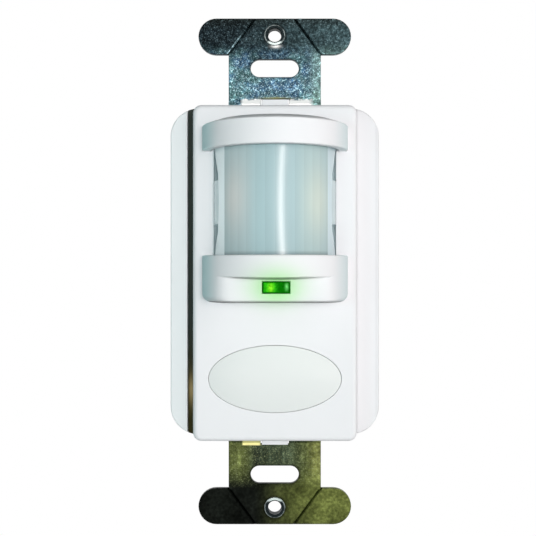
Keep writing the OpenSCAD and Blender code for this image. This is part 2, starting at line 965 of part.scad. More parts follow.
module pir_leads()
    color(gold)
        at_pir_leads()
            rod_y(pir_lead_d, 0, 0, y_pir_foot, y_sb_back + pir_lead_out);

// Flat legs along the top and bottom edges of a chip.
module chip_legs(count, pitch, size, x, y0, z)
    for (i = [0 : count - 1], side = [-1, 1])
        block([leg_w, leg_t, 2 * leg_out], x + (i - (count - 1) / 2) * pitch, y0,
            z + side * size[2] / 2);

module microcontroller()
    color(black) {
        block(mcu_size, 0, y_sb_back, mcu_z);
        chip_legs(mcu_legs, mcu_size[0] / (mcu_legs + 0.5), mcu_size, 0, y_sb_back, mcu_z);
    }

// Power board

module power_board()
    color(board_green)
        difference() {
            block([pb_w, board_t, pb_h], 0, y_pb_front, pb_mid);
            at_tub_posts()
                rod_y(bscrew_pass_d, 0, 0, y_pb_front - past, y_pb_back + past);
        }

module relay()
    color(black) {
        block([relay_size[0], relay_base_t, relay_size[2]], relay_x, y_pb_front - relay_base_t, relay_z);
        block([relay_size[0] - 2 * relay_inset, relay_size[1], relay_size[2] - 2 * relay_inset],
            relay_x, y_pb_front - relay_size[1], relay_z);
    }

module film_capacitor()
    color(amber)
        block(film_size, film_x, y_pb_front - film_size[1], film_z);

module bulk_capacitor()
    color(grey)
        turned_y(bulk_x, bulk_z, y_pb_front)
            difference() {
                square([bulk_d / 2, bulk_h]);
                translate([bulk_d / 2, bulk_crimp_at])
                    circle(bulk_crimp_r);
            }

// Round disc on edge with two wires into the board.
module surge_varistor()
    color(cobalt) {
        y_mid = y_pb_front - varistor_lift - varistor_d / 2;
        translate([varistor_x, y_mid, varistor_z - varistor_t / 2])
            rotate_extrude() {
                square([(varistor_d - varistor_t) / 2, varistor_t]);
                intersection() {
                    translate([(varistor_d - varistor_t) / 2, varistor_t / 2])
                        circle(varistor_t / 2);
                    square([varistor_d, varistor_t]);
                }
            }
        for (side = [-1, 1])
            rod_y(wire_d, varistor_x + side * varistor_pitch / 2, varistor_z, y_mid, y_pb_front);
    }

module bridge_rectifier()
    color(black) {
        block(bridge_size, varistor_x, y_pb_front - bridge_size[1], bridge_z);
        chip_legs(bridge_legs, bridge_size[0] / bridge_legs, bridge_size, varistor_x,
            y_pb_front - leg_t, bridge_z);
    }

module fusible_resistor()
    color(grey) {
        y_axis = y_pb_front - resistor_lift - resistor_d / 2;
        reach = resistor_len / 2 + wire_run;
        rod_x(resistor_d, resistor_x - resistor_len / 2, resistor_x + resistor_len / 2, y_axis, resistor_z);
        rod_x(wire_d, resistor_x - reach, resistor_x + reach, y_axis, resistor_z);
        for (side = [-1, 1])
            rod_y(wire_d, resistor_x + side * (reach - wire_d / 2), resistor_z, y_axis, y_pb_front);
    }

// A strip of insulation on each board around the pins between them.
module link_header()
    color(black)
        difference() {
            for (y0 = [y_sb_back, y_pb_front - link_strip])
                block([link_count * link_pitch, link_strip, link_strip], link_x, y0, link_z);
            at_link_pins()
                block([link_hole, housing_depth, link_hole], 0, y_sb_back - past, 0);
        }

module link_pins()
    color(gold)
        at_link_pins()
            block([link_w, y_pb_front - y_sb_back, link_w], 0, y_sb_back, 0);

mounting_strap();
front_cover();
mid_frame();
rear_housing();
fresnel_lens();
lens_retainer();
light_pipe();
push_button();
tact_plunger();
tact_switch();
status_led();
sensor_board();
pir_spacer();
pir_can();
pir_filter();
pir_leads();
microcontroller();
power_board();
relay();
film_capacitor();
bulk_capacitor();
surge_varistor();
bridge_rectifier();
fusible_resistor();
link_header();
link_pins();
board_screws();
housing_screws();
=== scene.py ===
"""Looks of the motion sensor light switch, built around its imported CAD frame.

Sizes are in millimetres and become metres when a mesh is made.
X points right, Z up, and the front of the switch looks towards -Y.
"""

import json
import logging
import math
from dataclasses import dataclass, field
from enum import Enum
from functools import reduce
from typing import Any, Callable, Sequence

import bmesh
import bpy
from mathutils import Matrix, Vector
from mathutils.geometry import tessellate_polygon

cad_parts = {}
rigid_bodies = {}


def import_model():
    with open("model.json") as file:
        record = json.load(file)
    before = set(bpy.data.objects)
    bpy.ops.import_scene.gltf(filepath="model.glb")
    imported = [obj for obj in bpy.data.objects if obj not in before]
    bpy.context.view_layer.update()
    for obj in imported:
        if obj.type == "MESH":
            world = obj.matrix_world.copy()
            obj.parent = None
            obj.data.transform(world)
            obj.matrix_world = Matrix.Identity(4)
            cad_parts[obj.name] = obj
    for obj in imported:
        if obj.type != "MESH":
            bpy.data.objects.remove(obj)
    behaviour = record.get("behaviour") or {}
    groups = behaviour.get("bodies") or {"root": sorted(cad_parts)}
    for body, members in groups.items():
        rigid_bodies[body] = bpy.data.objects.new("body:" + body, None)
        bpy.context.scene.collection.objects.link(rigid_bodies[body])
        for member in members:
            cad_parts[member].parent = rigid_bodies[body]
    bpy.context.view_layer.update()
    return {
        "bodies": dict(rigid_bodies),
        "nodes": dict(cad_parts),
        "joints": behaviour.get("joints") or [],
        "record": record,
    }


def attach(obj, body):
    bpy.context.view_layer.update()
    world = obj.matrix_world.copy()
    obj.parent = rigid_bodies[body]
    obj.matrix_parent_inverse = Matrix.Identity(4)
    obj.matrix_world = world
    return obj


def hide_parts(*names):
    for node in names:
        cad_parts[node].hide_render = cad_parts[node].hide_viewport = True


LOG = logging.getLogger("switch")
# Metres in a millimetre
MM = 0.001
# Width of the flat beside a rounded edge, which keeps the shading even
SUPPORT = 0.04
# Edge radius around the opening of a box
OPEN_R = 0.15
# Radius of a turned profile on its own axis
AXIS_R = 0.001
# Metres within which points count as the same
TOUCH = 1e-6
# Side of the photograph in pixels
PHOTO_SIDE = 536
# Upper and lower end, or right and left side
ENDS = (1, -1)
# Where a tone changes from the left half to the right half
MIDDLE = (-1.0, 1.0)

Span = tuple[float, float]
Loop = list[Span]
Point = tuple[float, float, float]
Colour = tuple[float, float, float, float]

# Four housing screws, across and up
SCREWS: Loop = [(side * 11.5, z) for side in ENDS for z in (29.9, -29.3)]
# Opening through the strap and the mid frame: left, right, low, high
OPENING = (-13.7, 13.7, -26.2, 26.85)


class Body(Enum):
    """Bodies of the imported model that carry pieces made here."""

    BASE = "base"
    BUTTON = "button"


class Side(Enum):
    """Upper and lower end of the strap."""

    TOP = 1
    BOTTOM = -1


def tone(red: float, green: float, blue: float) -> Colour:
    """Turn a screen colour into the linear one that a shader takes.

    Args:
        red: Red from 0 to 255.
        green: Green from 0 to 255.
        blue: Blue from 0 to 255.

    Returns:
        Linear colour with full alpha.
    """

    def linear(value: float) -> float:
        """Undo the screen curve of one channel."""
        share = value / 255
        return share / 12.92 if share <= 0.04045 else ((share + 0.055) / 1.055) ** 2.4

    return (linear(red), linear(green), linear(blue), 1.0)


# Outlines


def arc(cx: float, cz: float, radius: float, start: float, end: float, steps: int) -> Loop:
    """Points on an arc between two angles in degrees, both ends included."""
    angles = [math.radians(start + (end - start) * i / steps) for i in range(steps + 1)]
    return [(cx + radius * math.cos(a), cz + radius * math.sin(a)) for a in angles]


def rounded(width: float, height: float, radius: float, cz: float = 0.0, steps: int = 10) -> Loop:
    """Rectangle with round corners around a height, counter-clockwise.

    Args:
        width: Width.
        height: Height.
        radius: Corner radius.
        cz: Height of the middle.
        steps: Pieces of a corner.

    Returns:
        The outline.
    """
    x, z = width / 2 - radius, height / 2 - radius
    return (arc(x, cz - z, radius, -90, 0, steps) + arc(x, cz + z, radius, 0, 90, steps)
            + arc(-x, cz + z, radius, 90, 180, steps) + arc(-x, cz - z, radius, 180, 270, steps))


def box_loop(x0: float, x1: float, z0: float, z1: float) -> Loop:
    """Plain rectangle, counter-clockwise."""
    return [(x0, z0), (x1, z0), (x1, z1), (x0, z1)]


def oval(width: float, height: float, cx: float = 0.0, cz: float = 0.0, steps: int = 96) -> Loop:
    """Ellipse around a place, counter-clockwise."""
    angles = [2 * math.pi * i / steps for i in range(steps)]
    return [(cx + width / 2 * math.cos(a), cz + height / 2 * math.sin(a)) for a in angles]


def stadium(length: float, height: float, cz: float, steps: int = 14) -> Loop:
    """Level slot with round ends, counter-clockwise; its length is over the ends."""
    x = (length - height) / 2
    return arc(x, cz, height / 2, -90, 90, steps) + arc(-x, cz, height / 2, 90, 270, steps)


def inset(loop: Loop, distance: float) -> Loop:
    """Move every side of an outline inwards.

    Args:
        loop: Counter-clockwise outline.
        distance: How far; below zero moves outwards.

    Returns:
        An outline with as many points.
    """
    if abs(distance) < 1e-9:
        return list(loop)
    moved: Loop = []
    count = len(loop)
    for i, (x, z) in enumerate(loop):
        before, after = loop[i - 1], loop[(i + 1) % count]
        first = Vector((x - before[0], z - before[1])).normalized()
        second = Vector((after[0] - x, after[1] - z)).normalized()
        normal = Vector((-first.y - second.y, first.x + second.x))
        reach = distance / max(0.2, 1 + first.dot(second))
        moved.append((x + normal.x * reach, z + normal.y * reach))
    return moved


def rim(radius: float, steps: int = 6) -> Loop:
    """Rows of a quarter-round edge, from the flat face to the side.

    Args:
        radius: Edge radius; zero gives a sharp edge.
        steps: Pieces of the quarter.

    Returns:
        Pairs of inset and depth, with a narrow flat at both ends.
    """
    if radius <= 0:
        return [(0.0, 0.0)]
    turn = [math.radians(90 - 90 * i / steps) for i in range(steps + 1)]
    rows = [(radius * (1 - math.cos(t)), radius * (1 - math.sin(t))) for t in turn]
    return [(radius + SUPPORT, 0.0)] + rows + [(0.0, radius + SUPPORT)]


def heading(angle: float) -> Span:
    """Sine and cosine of an angle in degrees."""
    return math.sin(math.radians(angle)), math.cos(math.radians(angle))


# Meshes


def metres(points: Sequence[Point]) -> list[Point]:
    """Turn points in millimetres into metres."""
    return [(x * MM, y * MM, z * MM) for x, y, z in points]


def show(name: str, data: Any) -> bpy.types.Object:
    """Make an object from its data and put it in the scene.

    Args:
        name: Name of the object.
        data: Its mesh, lamp or camera.

    Returns:
        The object.
    """
    made = bpy.data.objects.new(name, data)
    bpy.context.scene.collection.objects.link(made)
    return made


class Draft:
    """Collects points and faces and turns them into one mesh object."""

    def __init__(self) -> None:
        """Start empty."""
        self.points: list[Point] = []
        self.faces: list[tuple[int, ...]] = []

    def add(self, points: Sequence[Point]) -> list[int]:
        """Add points and return their numbers.

        Args:
            points: Points in millimetres.

        Returns:
            The numbers of the points.
        """
        first = len(self.points)
        self.points.extend(points)
        return list(range(first, len(self.points)))

    def ring(self, loop: Loop, y: float) -> list[int]:
        """Add an outline on one Y plane and return its point numbers."""
        return self.add([(x, y, z) for x, z in loop])

    def skin(self, first: list[int], second: list[int], closed: bool = True) -> None:
        """Join two rows of points by quads.

        Args:
            first: One row.
            second: The other row, as long.
            closed: Whether the last point joins the first.
        """
        count = len(first)
        for i in range(count if closed else count - 1):
            j = (i + 1) % count
            self.faces.append((first[i], first[j], second[j], second[i]))

    def stack(self, rows: list[list[int]], closed: bool = True) -> None:
        """Join each row of points to the next one."""
        for first, second in zip(rows, rows[1:]):
            self.skin(first, second, closed)

    def cap(self, outer: list[int], holes: Sequence[list[int]] = ()) -> None:
        """Fill a flat outline, leaving its holes open.

        Args:
            outer: Point numbers around the outside.
            holes: Point numbers around each hole.
        """
        rings = [outer, *holes]
        order = [i for one in rings for i in one]
        filled = tessellate_polygon([[Vector(self.points[i]) for i in one] for one in rings])
        self.faces.extend(tuple(order[k] for k in triangle) for triangle in filled)

    def plate(self, outer: Loop, holes: Sequence[Loop], front: float, back: float,
              front_r: float, hole_r: float = 0.0, back_r: float = 0.0) -> None:
        """Add a flat piece with rounded rims and holes.

        Args:
            outer: Outline.
            holes: Outlines of the holes.
            front: Y of the front face.
            back: Y of the rear face.
            front_r: Edge radius in front.
            hole_r: Edge radius of the holes, on both sides.
            back_r: Edge radius behind.
        """
        outside = [(i, front + d) for i, d in rim(front_r)] + [(i, back - d) for i, d in reversed(rim(back_r))]
        inside = [(i, front + d) for i, d in rim(hole_r, 4)] + [(i, back - d) for i, d in reversed(rim(hole_r, 4))]
        rows = [self.ring(inset(outer, i), y) for i, y in outside]
        bores = [[self.ring(inset(hole, -i), y) for i, y in inside] for hole in holes]
        self.stack(rows)
        for bore in bores:
            self.stack(bore)
        self.cap(rows[0], [bore[0] for bore in bores])
        self.cap(rows[-1], [bore[-1] for bore in bores])

    def tray(self, outline: Callable[[float], Loop], cavity: Loop, holes: Sequence[Loop], face: float,
             inner: float, edge: float, face_r: float, hole_r: float, draft: float = 0.0) -> None:
        """Add an open box: a face with holes and a wall around it.

        Args:
            outline: Gives the outside for an inset.
            cavity: Outline of the room inside.
            holes: Outlines of the holes in the face.
            face: Y of the outer face.
            inner: Y of the face's inner side.
            edge: Y of the open edge.
            face_r: Radius of the edge around the face.
            hole_r: Radius of the hole edges outside.
            draft: How much smaller the face is than the open edge, each side.
        """
        way = 1 if edge > face else -1
        outside = [(i + draft, face + way * d) for i, d in rim(face_r, 8)]
        outside += [(i, edge - way * d) for i, d in reversed(rim(OPEN_R, 3))]
        rows = [self.ring(outline(i), y) for i, y in outside]
        wall = [self.ring(cavity, edge), self.ring(cavity, inner)]
        bores = [[self.ring(inset(hole, -i), face + way * d) for i, d in rim(hole_r, 4)]
                 + [self.ring(hole, inner)] for hole in holes]
        self.stack(rows)
        self.stack(wall)
        for bore in bores:
            self.stack(bore)
        self.cap(rows[0], [bore[0] for bore in bores])
        self.cap(rows[-1], [wall[0]])
        self.cap(wall[1], [bore[-1] for bore in bores])

    def lathe(self, profile: Loop, cx: float, cz: float, steps: int = 40) -> None:
        """Turn a closed profile of radius and Y about a line along Y.

        Args:
            profile: Closed list of radius and Y.
            cx: The line's place across.
            cz: The line's height.
            steps: Number of steps around.
        """
        columns = []
        for i in range(steps):
            a = 2 * math.pi * i / steps
            columns.append(self.add([(cx + r * math.cos(a), y, cz + r * math.sin(a)) for r, y in profile]))
        self.stack(columns + [columns[0]])

    def block(self, x0: float, x1: float, y0: float, y1: float, z0: float, z1: float, edge_r: float = 0.0) -> None:
        """Add a block between six planes, with rounded front and rear edges."""
        self.plate(box_loop(x0, x1, z0, z1), [], y0, y1, edge_r, 0.0, edge_r)

    def build(self, name: str, finish: "Finish", sharp: float = 32.0) -> bpy.types.Object:
        """Turn what was collected into an object.

        Args:
            name: Name of the object.
            finish: Its finish.
            sharp: Edges that bend more than this many degrees stay sharp.

        Returns:
            The object, at the origin.
        """
        mesh = bpy.data.meshes.new(name)
        mesh.from_pydata(metres(self.points), [], self.faces)
        bm = bmesh.new()
        bm.from_mesh(mesh)
        bmesh.ops.remove_doubles(bm, verts=bm.verts, dist=1e-7)
        bmesh.ops.dissolve_degenerate(bm, edges=bm.edges, dist=1e-8)
        bmesh.ops.recalc_face_normals(bm, faces=bm.faces)
        bm.to_mesh(mesh)
        bm.free()
        made = show(name, mesh)
        mesh.materials.append(finish.material())
        smooth(mesh, sharp)
        return made


def smooth(mesh: bpy.types.Mesh, sharp: float) -> None:
    """Shade a mesh smooth, apart from edges that bend more than an angle in degrees."""
    mesh.polygons.foreach_set("use_smooth", [True] * len(mesh.polygons))
    mesh.set_sharp_from_angle(angle=math.radians(sharp))


def settle(piece: bpy.types.Object) -> None:
    """Turn an object with modifiers into a plain mesh.

    Args:
        piece: The object; its modifiers are removed.
    """
    shown = piece.evaluated_get(bpy.context.evaluated_depsgraph_get())
    done = bpy.data.meshes.new_from_object(shown)
    piece.modifiers.clear()
    piece.data = done


def seat(piece: bpy.types.Object, body: Body, slot: str, *nodes: str) -> None:
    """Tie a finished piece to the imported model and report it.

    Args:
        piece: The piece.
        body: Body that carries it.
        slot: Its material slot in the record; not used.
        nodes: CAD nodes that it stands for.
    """
    if nodes:
        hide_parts(*nodes)
    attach(piece, body.value)
    LOG.info("%s: %d faces on %s", piece.name, len(piece.data.polygons), body.value)


# Finishes


class Graph:
    """A shader node tree with short calls for its nodes."""

    def __init__(self, tree: bpy.types.NodeTree) -> None:
        """Hold the node tree of a material or of the world."""
        self.nodes = tree.nodes
        self.links = tree.links

    def feed(self, socket: Any, value: Any) -> None:
        """Link an output to a socket, or set a plain value on it.

        Args:
            socket: Input of a node.
            value: Output or plain value.
        """
        if isinstance(value, bpy.types.NodeSocket):
            self.links.new(value, socket)
        else:
            socket.default_value = value

    def math(self, operation: str, first: Any, second: Any = 0.0, third: Any = 0.0, clamp: bool = False) -> Any:
        """Calculate with up to three numbers.

        Args:
            operation: Name of Blender's operation.
            first: Number or output.
            second: Number or output.
            third: Number or output.
            clamp: Whether to keep the result within 0 and 1.

        Returns:
            The result's output.
        """
        node = self.nodes.new("ShaderNodeMath")
        node.operation = operation
        node.use_clamp = clamp
        for socket, value in zip(node.inputs, (first, second, third)):
            self.feed(socket, value)
        return node.outputs[0]

    def times(self, *values: Any) -> Any:
        """Product of numbers."""
        return reduce(lambda first, second: self.math("MULTIPLY", first, second), values)

    def less(self, first: Any, second: Any) -> Any:
        """First number less the second."""
        return self.math("SUBTRACT", first, second)

    def size(self, value: Any) -> Any:
        """Number without its sign."""
        return self.math("ABSOLUTE", value)

    def length(self, first: Any, second: Any) -> Any:
        """Length of a line from its two parts."""
        return self.math("SQRT", self.line(first, first, self.times(second, second)))

    def line(self, value: Any, slope: Any, base: Any) -> Any:
        """Give slope times value plus base."""
        return self.math("MULTIPLY_ADD", value, slope, base)

    def step(self, value: Any, low: float, high: float) -> Any:
        """Smooth step from 0 at low to 1 at high.

        Args:
            value: Number or output.
            low: Where it is 0.
            high: Where it is 1.

        Returns:
            The result's output.
        """
        node = self.nodes.new("ShaderNodeMapRange")
        node.interpolation_type = "SMOOTHSTEP"
        self.feed(node.inputs["Value"], value)
        node.inputs["From Min"].default_value = low
        node.inputs["From Max"].default_value = high
        return node.outputs["Result"]

    def fall(self, value: Any, low: float, high: float) -> Any:
        """Smooth step from 1 at low to 0 at high."""
        return self.less(1.0, self.step(value, low, high))

    def between(self, value: Any, rise: Span, drop: Span) -> Any:
        """1 between a smooth rise and a smooth drop, 0 outside them."""
        return self.times(self.step(value, *rise), self.fall(value, *drop))

    def split(self, vector: Any) -> tuple[Any, Any, Any]:
        """Give the three numbers of a vector.

        Args:
            vector: Output with a vector.

        Returns:
            Its X, Y and Z.
        """
        node = self.nodes.new("ShaderNodeSeparateXYZ")
        self.feed(node.inputs[0], vector)
        return node.outputs["X"], node.outputs["Y"], node.outputs["Z"]

    def seen(self) -> Any:
        """1 for the eye, in reflections and through glass.

        Returns:
            The value's output.
        """
        path = self.nodes.new("ShaderNodeLightPath").outputs
        seen = self.math("MAXIMUM", path["Is Camera Ray"], path["Is Glossy Ray"])
        return self.math("MAXIMUM", seen, path["Is Transmission Ray"])

    def mix(self, share: Any, first: Any, second: Any, how: str = "MIX") -> Any:
        """Mix two colours.

        Args:
            share: Share of the second colour.
            first: Colour or output.
            second: Colour or output.
            how: Blend type.

        Returns:
            The colour's output.
        """
        node = self.nodes.new("ShaderNodeMix")
        node.data_type = "RGBA"
        node.blend_type = how
        self.feed(node.inputs["Factor"], share)
        colours = [socket for socket in node.inputs if socket.type == "RGBA"]
        self.feed(colours[0], first)
        self.feed(colours[1], second)
        return next(socket for socket in node.outputs if socket.type == "RGBA")

    def shade(self, colour: Any, amount: Any) -> Any:
        """Multiply a colour by a number.

        Args:
            colour: Colour or output.
            amount: Number or output.

        Returns:
            The colour's output.
        """
        node = self.nodes.new("ShaderNodeVectorMath")
        node.operation = "SCALE"
        self.feed(node.inputs[0], colour if isinstance(colour, bpy.types.NodeSocket) else colour[:3])
        self.feed(node.inputs["Scale"], amount)
        return node.outputs[0]


class Shader(Graph):
    """A node material that reads Object coordinates."""

    def __init__(self, name: str) -> None:
        """Make a material with one Principled shader.

        Args:
            name: Name of the material.
        """
        self.made = bpy.data.materials.new(name)
        self.made.use_nodes = True
        super().__init__(self.made.node_tree)
        self.surface = next(n for n in self.nodes if n.type == "BSDF_PRINCIPLED")
        self.place = self.nodes.new("ShaderNodeTexCoord").outputs["Object"]

    def put(self, **values: Any) -> None:
        """Set sockets of the surface; an underscore stands for a space."""
        for name, value in values.items():
            self.feed(self.surface.inputs[name.replace("_", " ")], value)

    def axes(self) -> tuple[Any, Any, Any]:
        """Object coordinates as three numbers, in millimetres.

        Returns:
            X, Y and Z.
        """
        node = self.nodes.new("ShaderNodeVectorMath")
        node.operation = "SCALE"
        self.feed(node.inputs[0], self.place)
        node.inputs["Scale"].default_value = 1 / MM
        return self.split(node.outputs[0])

    def noise(self, grain: float, detail: float = 2.0, stretch: Point = (1.0, 1.0, 1.0)) -> Any:
        """Noise around one half.

        Args:
            grain: Size of a grain in millimetres.
            detail: Detail of the noise.
            stretch: Scale along the axes.

        Returns:
            The value's output.
        """
        turned = self.nodes.new("ShaderNodeMapping")
        self.feed(turned.inputs["Vector"], self.place)
        turned.inputs["Scale"].default_value = stretch
        node = self.nodes.new("ShaderNodeTexNoise")
        self.feed(node.inputs["Vector"], turned.outputs[0])
        node.inputs["Scale"].default_value = 1 / (grain * MM)
        node.inputs["Detail"].default_value = detail
        return node.outputs["Fac"]

    def glow(self, centre: Point, reach: Point) -> Any:
        """Bell-shaped value around a place.

        Args:
            centre: Middle in millimetres.
            reach: Half width along each axis in millimetres.

        Returns:
            The value's output, 1 in the middle.
        """
        moved = self.nodes.new("ShaderNodeMapping")
        moved.vector_type = "TEXTURE"
        self.feed(moved.inputs["Vector"], self.place)
        moved.inputs["Location"].default_value = [c * MM for c in centre]
        moved.inputs["Scale"].default_value = [r * MM for r in reach]
        length = self.nodes.new("ShaderNodeVectorMath")
        length.operation = "LENGTH"
        self.feed(length.inputs[0], moved.outputs[0])
        square = self.math("POWER", length.outputs["Value"], 2.0)
        return self.math("EXPONENT", self.times(square, -1.0))

    def bump(self, height: Any, depth: float, strength: float = 1.0, socket: str = "Normal") -> None:
        """Roughen or tilt the surface.

        Args:
            height: Height from 0 to 1.
            depth: What a height of 1 stands for, in millimetres.
            strength: Strength of the effect.
            socket: The input it goes to, spaces as underscores.
        """
        node = self.nodes.new("ShaderNodeBump")
        node.inputs["Strength"].default_value = strength
        node.inputs["Distance"].default_value = depth * MM
        self.feed(node.inputs["Height"], height)
        self.put(**{socket: node.outputs[0]})


@dataclass(frozen=True)
class Finish:
    """A finish that makes its material once."""

    name: str

    def dress(self, shader: Shader) -> None:
        """Set up the nodes; each finish has its own."""
        raise NotImplementedError

    def material(self) -> bpy.types.Material:
        """Give the material, made at the first call.

        Returns:
            The material.
        """
        found = bpy.data.materials.get(self.name)
        if found is None:
            shader = Shader(self.name)
            self.dress(shader)
            found = shader.made
        return found


@dataclass(frozen=True)
class MouldedPlastic(Finish):
    """Moulded plastic with a fine grain and a faint cloud of tone."""

    colour: Colour
    roughness: float = 0.42
    grain: float = 0.22
    relief: float = 0.004
    cloud: float = 0.012
    gloss: float = 0.04
    cloud_size: float = 9.0
    spread: float = 0.12

    def base(self, shader: Shader) -> Any:
        """Colour with its clouding."""
        cloud = shader.noise(self.cloud_size, 3.0)
        return shader.shade(self.colour, shader.line(cloud, self.cloud * 2, 1 - self.cloud))

    def dress(self, shader: Shader) -> None:
        """Set colour, sheen and grain.

        Args:
            shader: The material.
        """
        grain = shader.noise(self.grain, 2.0)
        roughness = shader.line(grain, self.spread, self.roughness - self.spread / 2)
        shader.put(Base_Color=self.base(shader), Roughness=roughness, Specular_IOR_Level=self.gloss)
        shader.bump(grain, self.relief, 0.6)


@dataclass(frozen=True)
class FloorPaint(MouldedPlastic):
    """Pale floor that keeps the switch's shadow."""

    lift: float = 0.42

    def dress(self, shader: Shader) -> None:
        """Add the floor's own paleness, for the eye and for reflections."""
        super().dress(shader)
        shader.put(Emission_Color=self.colour, Emission_Strength=shader.times(shader.seen(), self.lift))


@dataclass(frozen=True)
class WingPlastic(MouldedPlastic):
    """Moulded plastic with painted shade: a little greyer on the right, darker at the outer rim and beside the face.
    """

    # Painted shade: the right side greyer, the outer rim and the seam beside the face darker.
    right: Colour = tone(242, 242, 244)
    reach: float = 15.0
    rim: Span = (20.3, 20.8)
    wing_rim_shade: float = 0.08
    seam: tuple[Span, Span] = ((15.0, 16.0), (16.85, 17.15))
    wing_seam_shade: float = 0.14

    def base(self, shader: Shader) -> Any:
        """Colour with painted shade: greyer to the right, darker at the rim and beside the face.

        Args:
            shader: The material.

        Returns:
            The colour's output.
        """
        x = shader.axes()[0]
        # Painted shade: greyer to the right, darker at the outer rim and beside the face.
        colour = shader.mix(shader.step(x, -self.reach, self.reach), super().base(shader), self.right)
        seam = shader.times(shader.between(x, *self.seam), self.wing_seam_shade)
        return shader.shade(colour, shader.less(1.0, shader.line(shader.step(x, *self.rim), self.wing_rim_shade, seam)))


@dataclass(frozen=True)
class LitPlastic(MouldedPlastic):
    """White plastic with the pale green light of the status lamp painted on it, and painted shade on the visors."""

    lamp: Point = (0.0, 0.0, 0.0)
    reach: Point = (4.6, 14.0, 3.5)
    # Painted light: the status lamp's green glow on the white plastic.
    painted_lamp_light: Colour = (0.34, 0.86, 0.24, 1.0)
    painted_lamp_share: float = 0.85
    # Painted shade: the visors' sides are cooler and darker, more on the left than on the right.
    flank: Colour = (0.76, 1.0, 1.0, 1.0)
    flank_right: Colour = (0.88, 1.0, 1.0, 1.0)
    flank_from: Span = (10.5, 14.4)
    flank_depth: Span = (-11.0, -9.0)
    # Painted shade along the visors' roof, foot, lower corners and crease: where it falls and how dark it is.
    axis: float = 8.3
    visor_depth: Span = (-12.0, -10.0)
    roof: Span = (28.6, 29.3)
    roof_wall: Span = (11.3, 12.3)
    roof_dark: float = 0.34
    foot: Span = (-5.92, -5.5)
    foot_wall: Span = (12.0, 12.6)
    foot_front: Span = (-16.6, -16.1)
    foot_dark: float = 0.72
    corner: tuple[Span, Span] = ((-11.0, -8.0), (-5.9, -4.6))
    corner_dark: float = 0.28
    crease: float = -1.32
    crease_bow: float = 140.0
    crease_band: tuple[Span, Span] = ((-0.3, -0.1), (0.05, 0.3))
    crease_run: tuple[Span, Span] = ((-10.0, -6.0), (3.5, 7.5))
    crease_front: Span = (-17.6, -17.0)
    crease_dark: float = 0.34

    def base(self, shader: Shader) -> Any:
        """Plastic colour with painted green lamp light around the lamp and painted shade on the visors' sides and
        edges.

        Args:
            shader: The material.

        Returns:
            The colour's output.
        """
        # Painted light: the status lamp's green glow, mixed into the colour.
        halo = shader.math("MULTIPLY", shader.glow(self.lamp, self.reach), self.painted_lamp_share, clamp=True)
        x, y, _ = shader.axes()
        # Painted shade on the visors' sides, stronger on the left.
        aside = shader.times(shader.step(shader.size(x), *self.flank_from), shader.fall(y, *self.flank_depth))
        flank_shade = shader.mix(shader.step(x, *MIDDLE), self.flank, self.flank_right)
        plain = shader.mix(aside, super().base(shader), flank_shade, "MULTIPLY")
        return shader.shade(shader.mix(halo, plain, self.painted_lamp_light), self.rims(shader))

    def rims(self, shader: Shader) -> Any:
        """Painted shade on the visors' roof, foot, lower corners and crease.

        Args:
            shader: The material.

        Returns:
            A factor below 1 along the roof, the foot and the crease.
        """
        x, y, z = shader.axes()
        out = shader.length(shader.math("ADD", y, self.axis), x)
        roof = shader.times(shader.step(z, *self.roof), self.roof_dark, shader.step(out, *self.roof_wall))
        wall = shader.step(out, *self.foot_wall)
        foot = shader.times(shader.fall(z, *self.foot), self.foot_dark,
                            shader.math("MAXIMUM", wall, shader.fall(y, *self.foot_front)))
        corner = shader.times(shader.fall(x, *self.corner[0]), shader.fall(z, *self.corner[1]), wall)
        foot = shader.line(corner, self.corner_dark, foot)
        ends = shader.times(shader.math("ADD", roof, foot), shader.fall(y, *self.visor_depth))
        height = shader.less(z, shader.line(shader.times(x, x), 0.5 / self.crease_bow, self.crease))
        band = shader.times(shader.between(height, *self.crease_band), shader.between(x, *self.crease_run),
                            self.crease_dark, shader.fall(y, *self.crease_front))
        return shader.less(1.0, shader.math("ADD", ends, band))


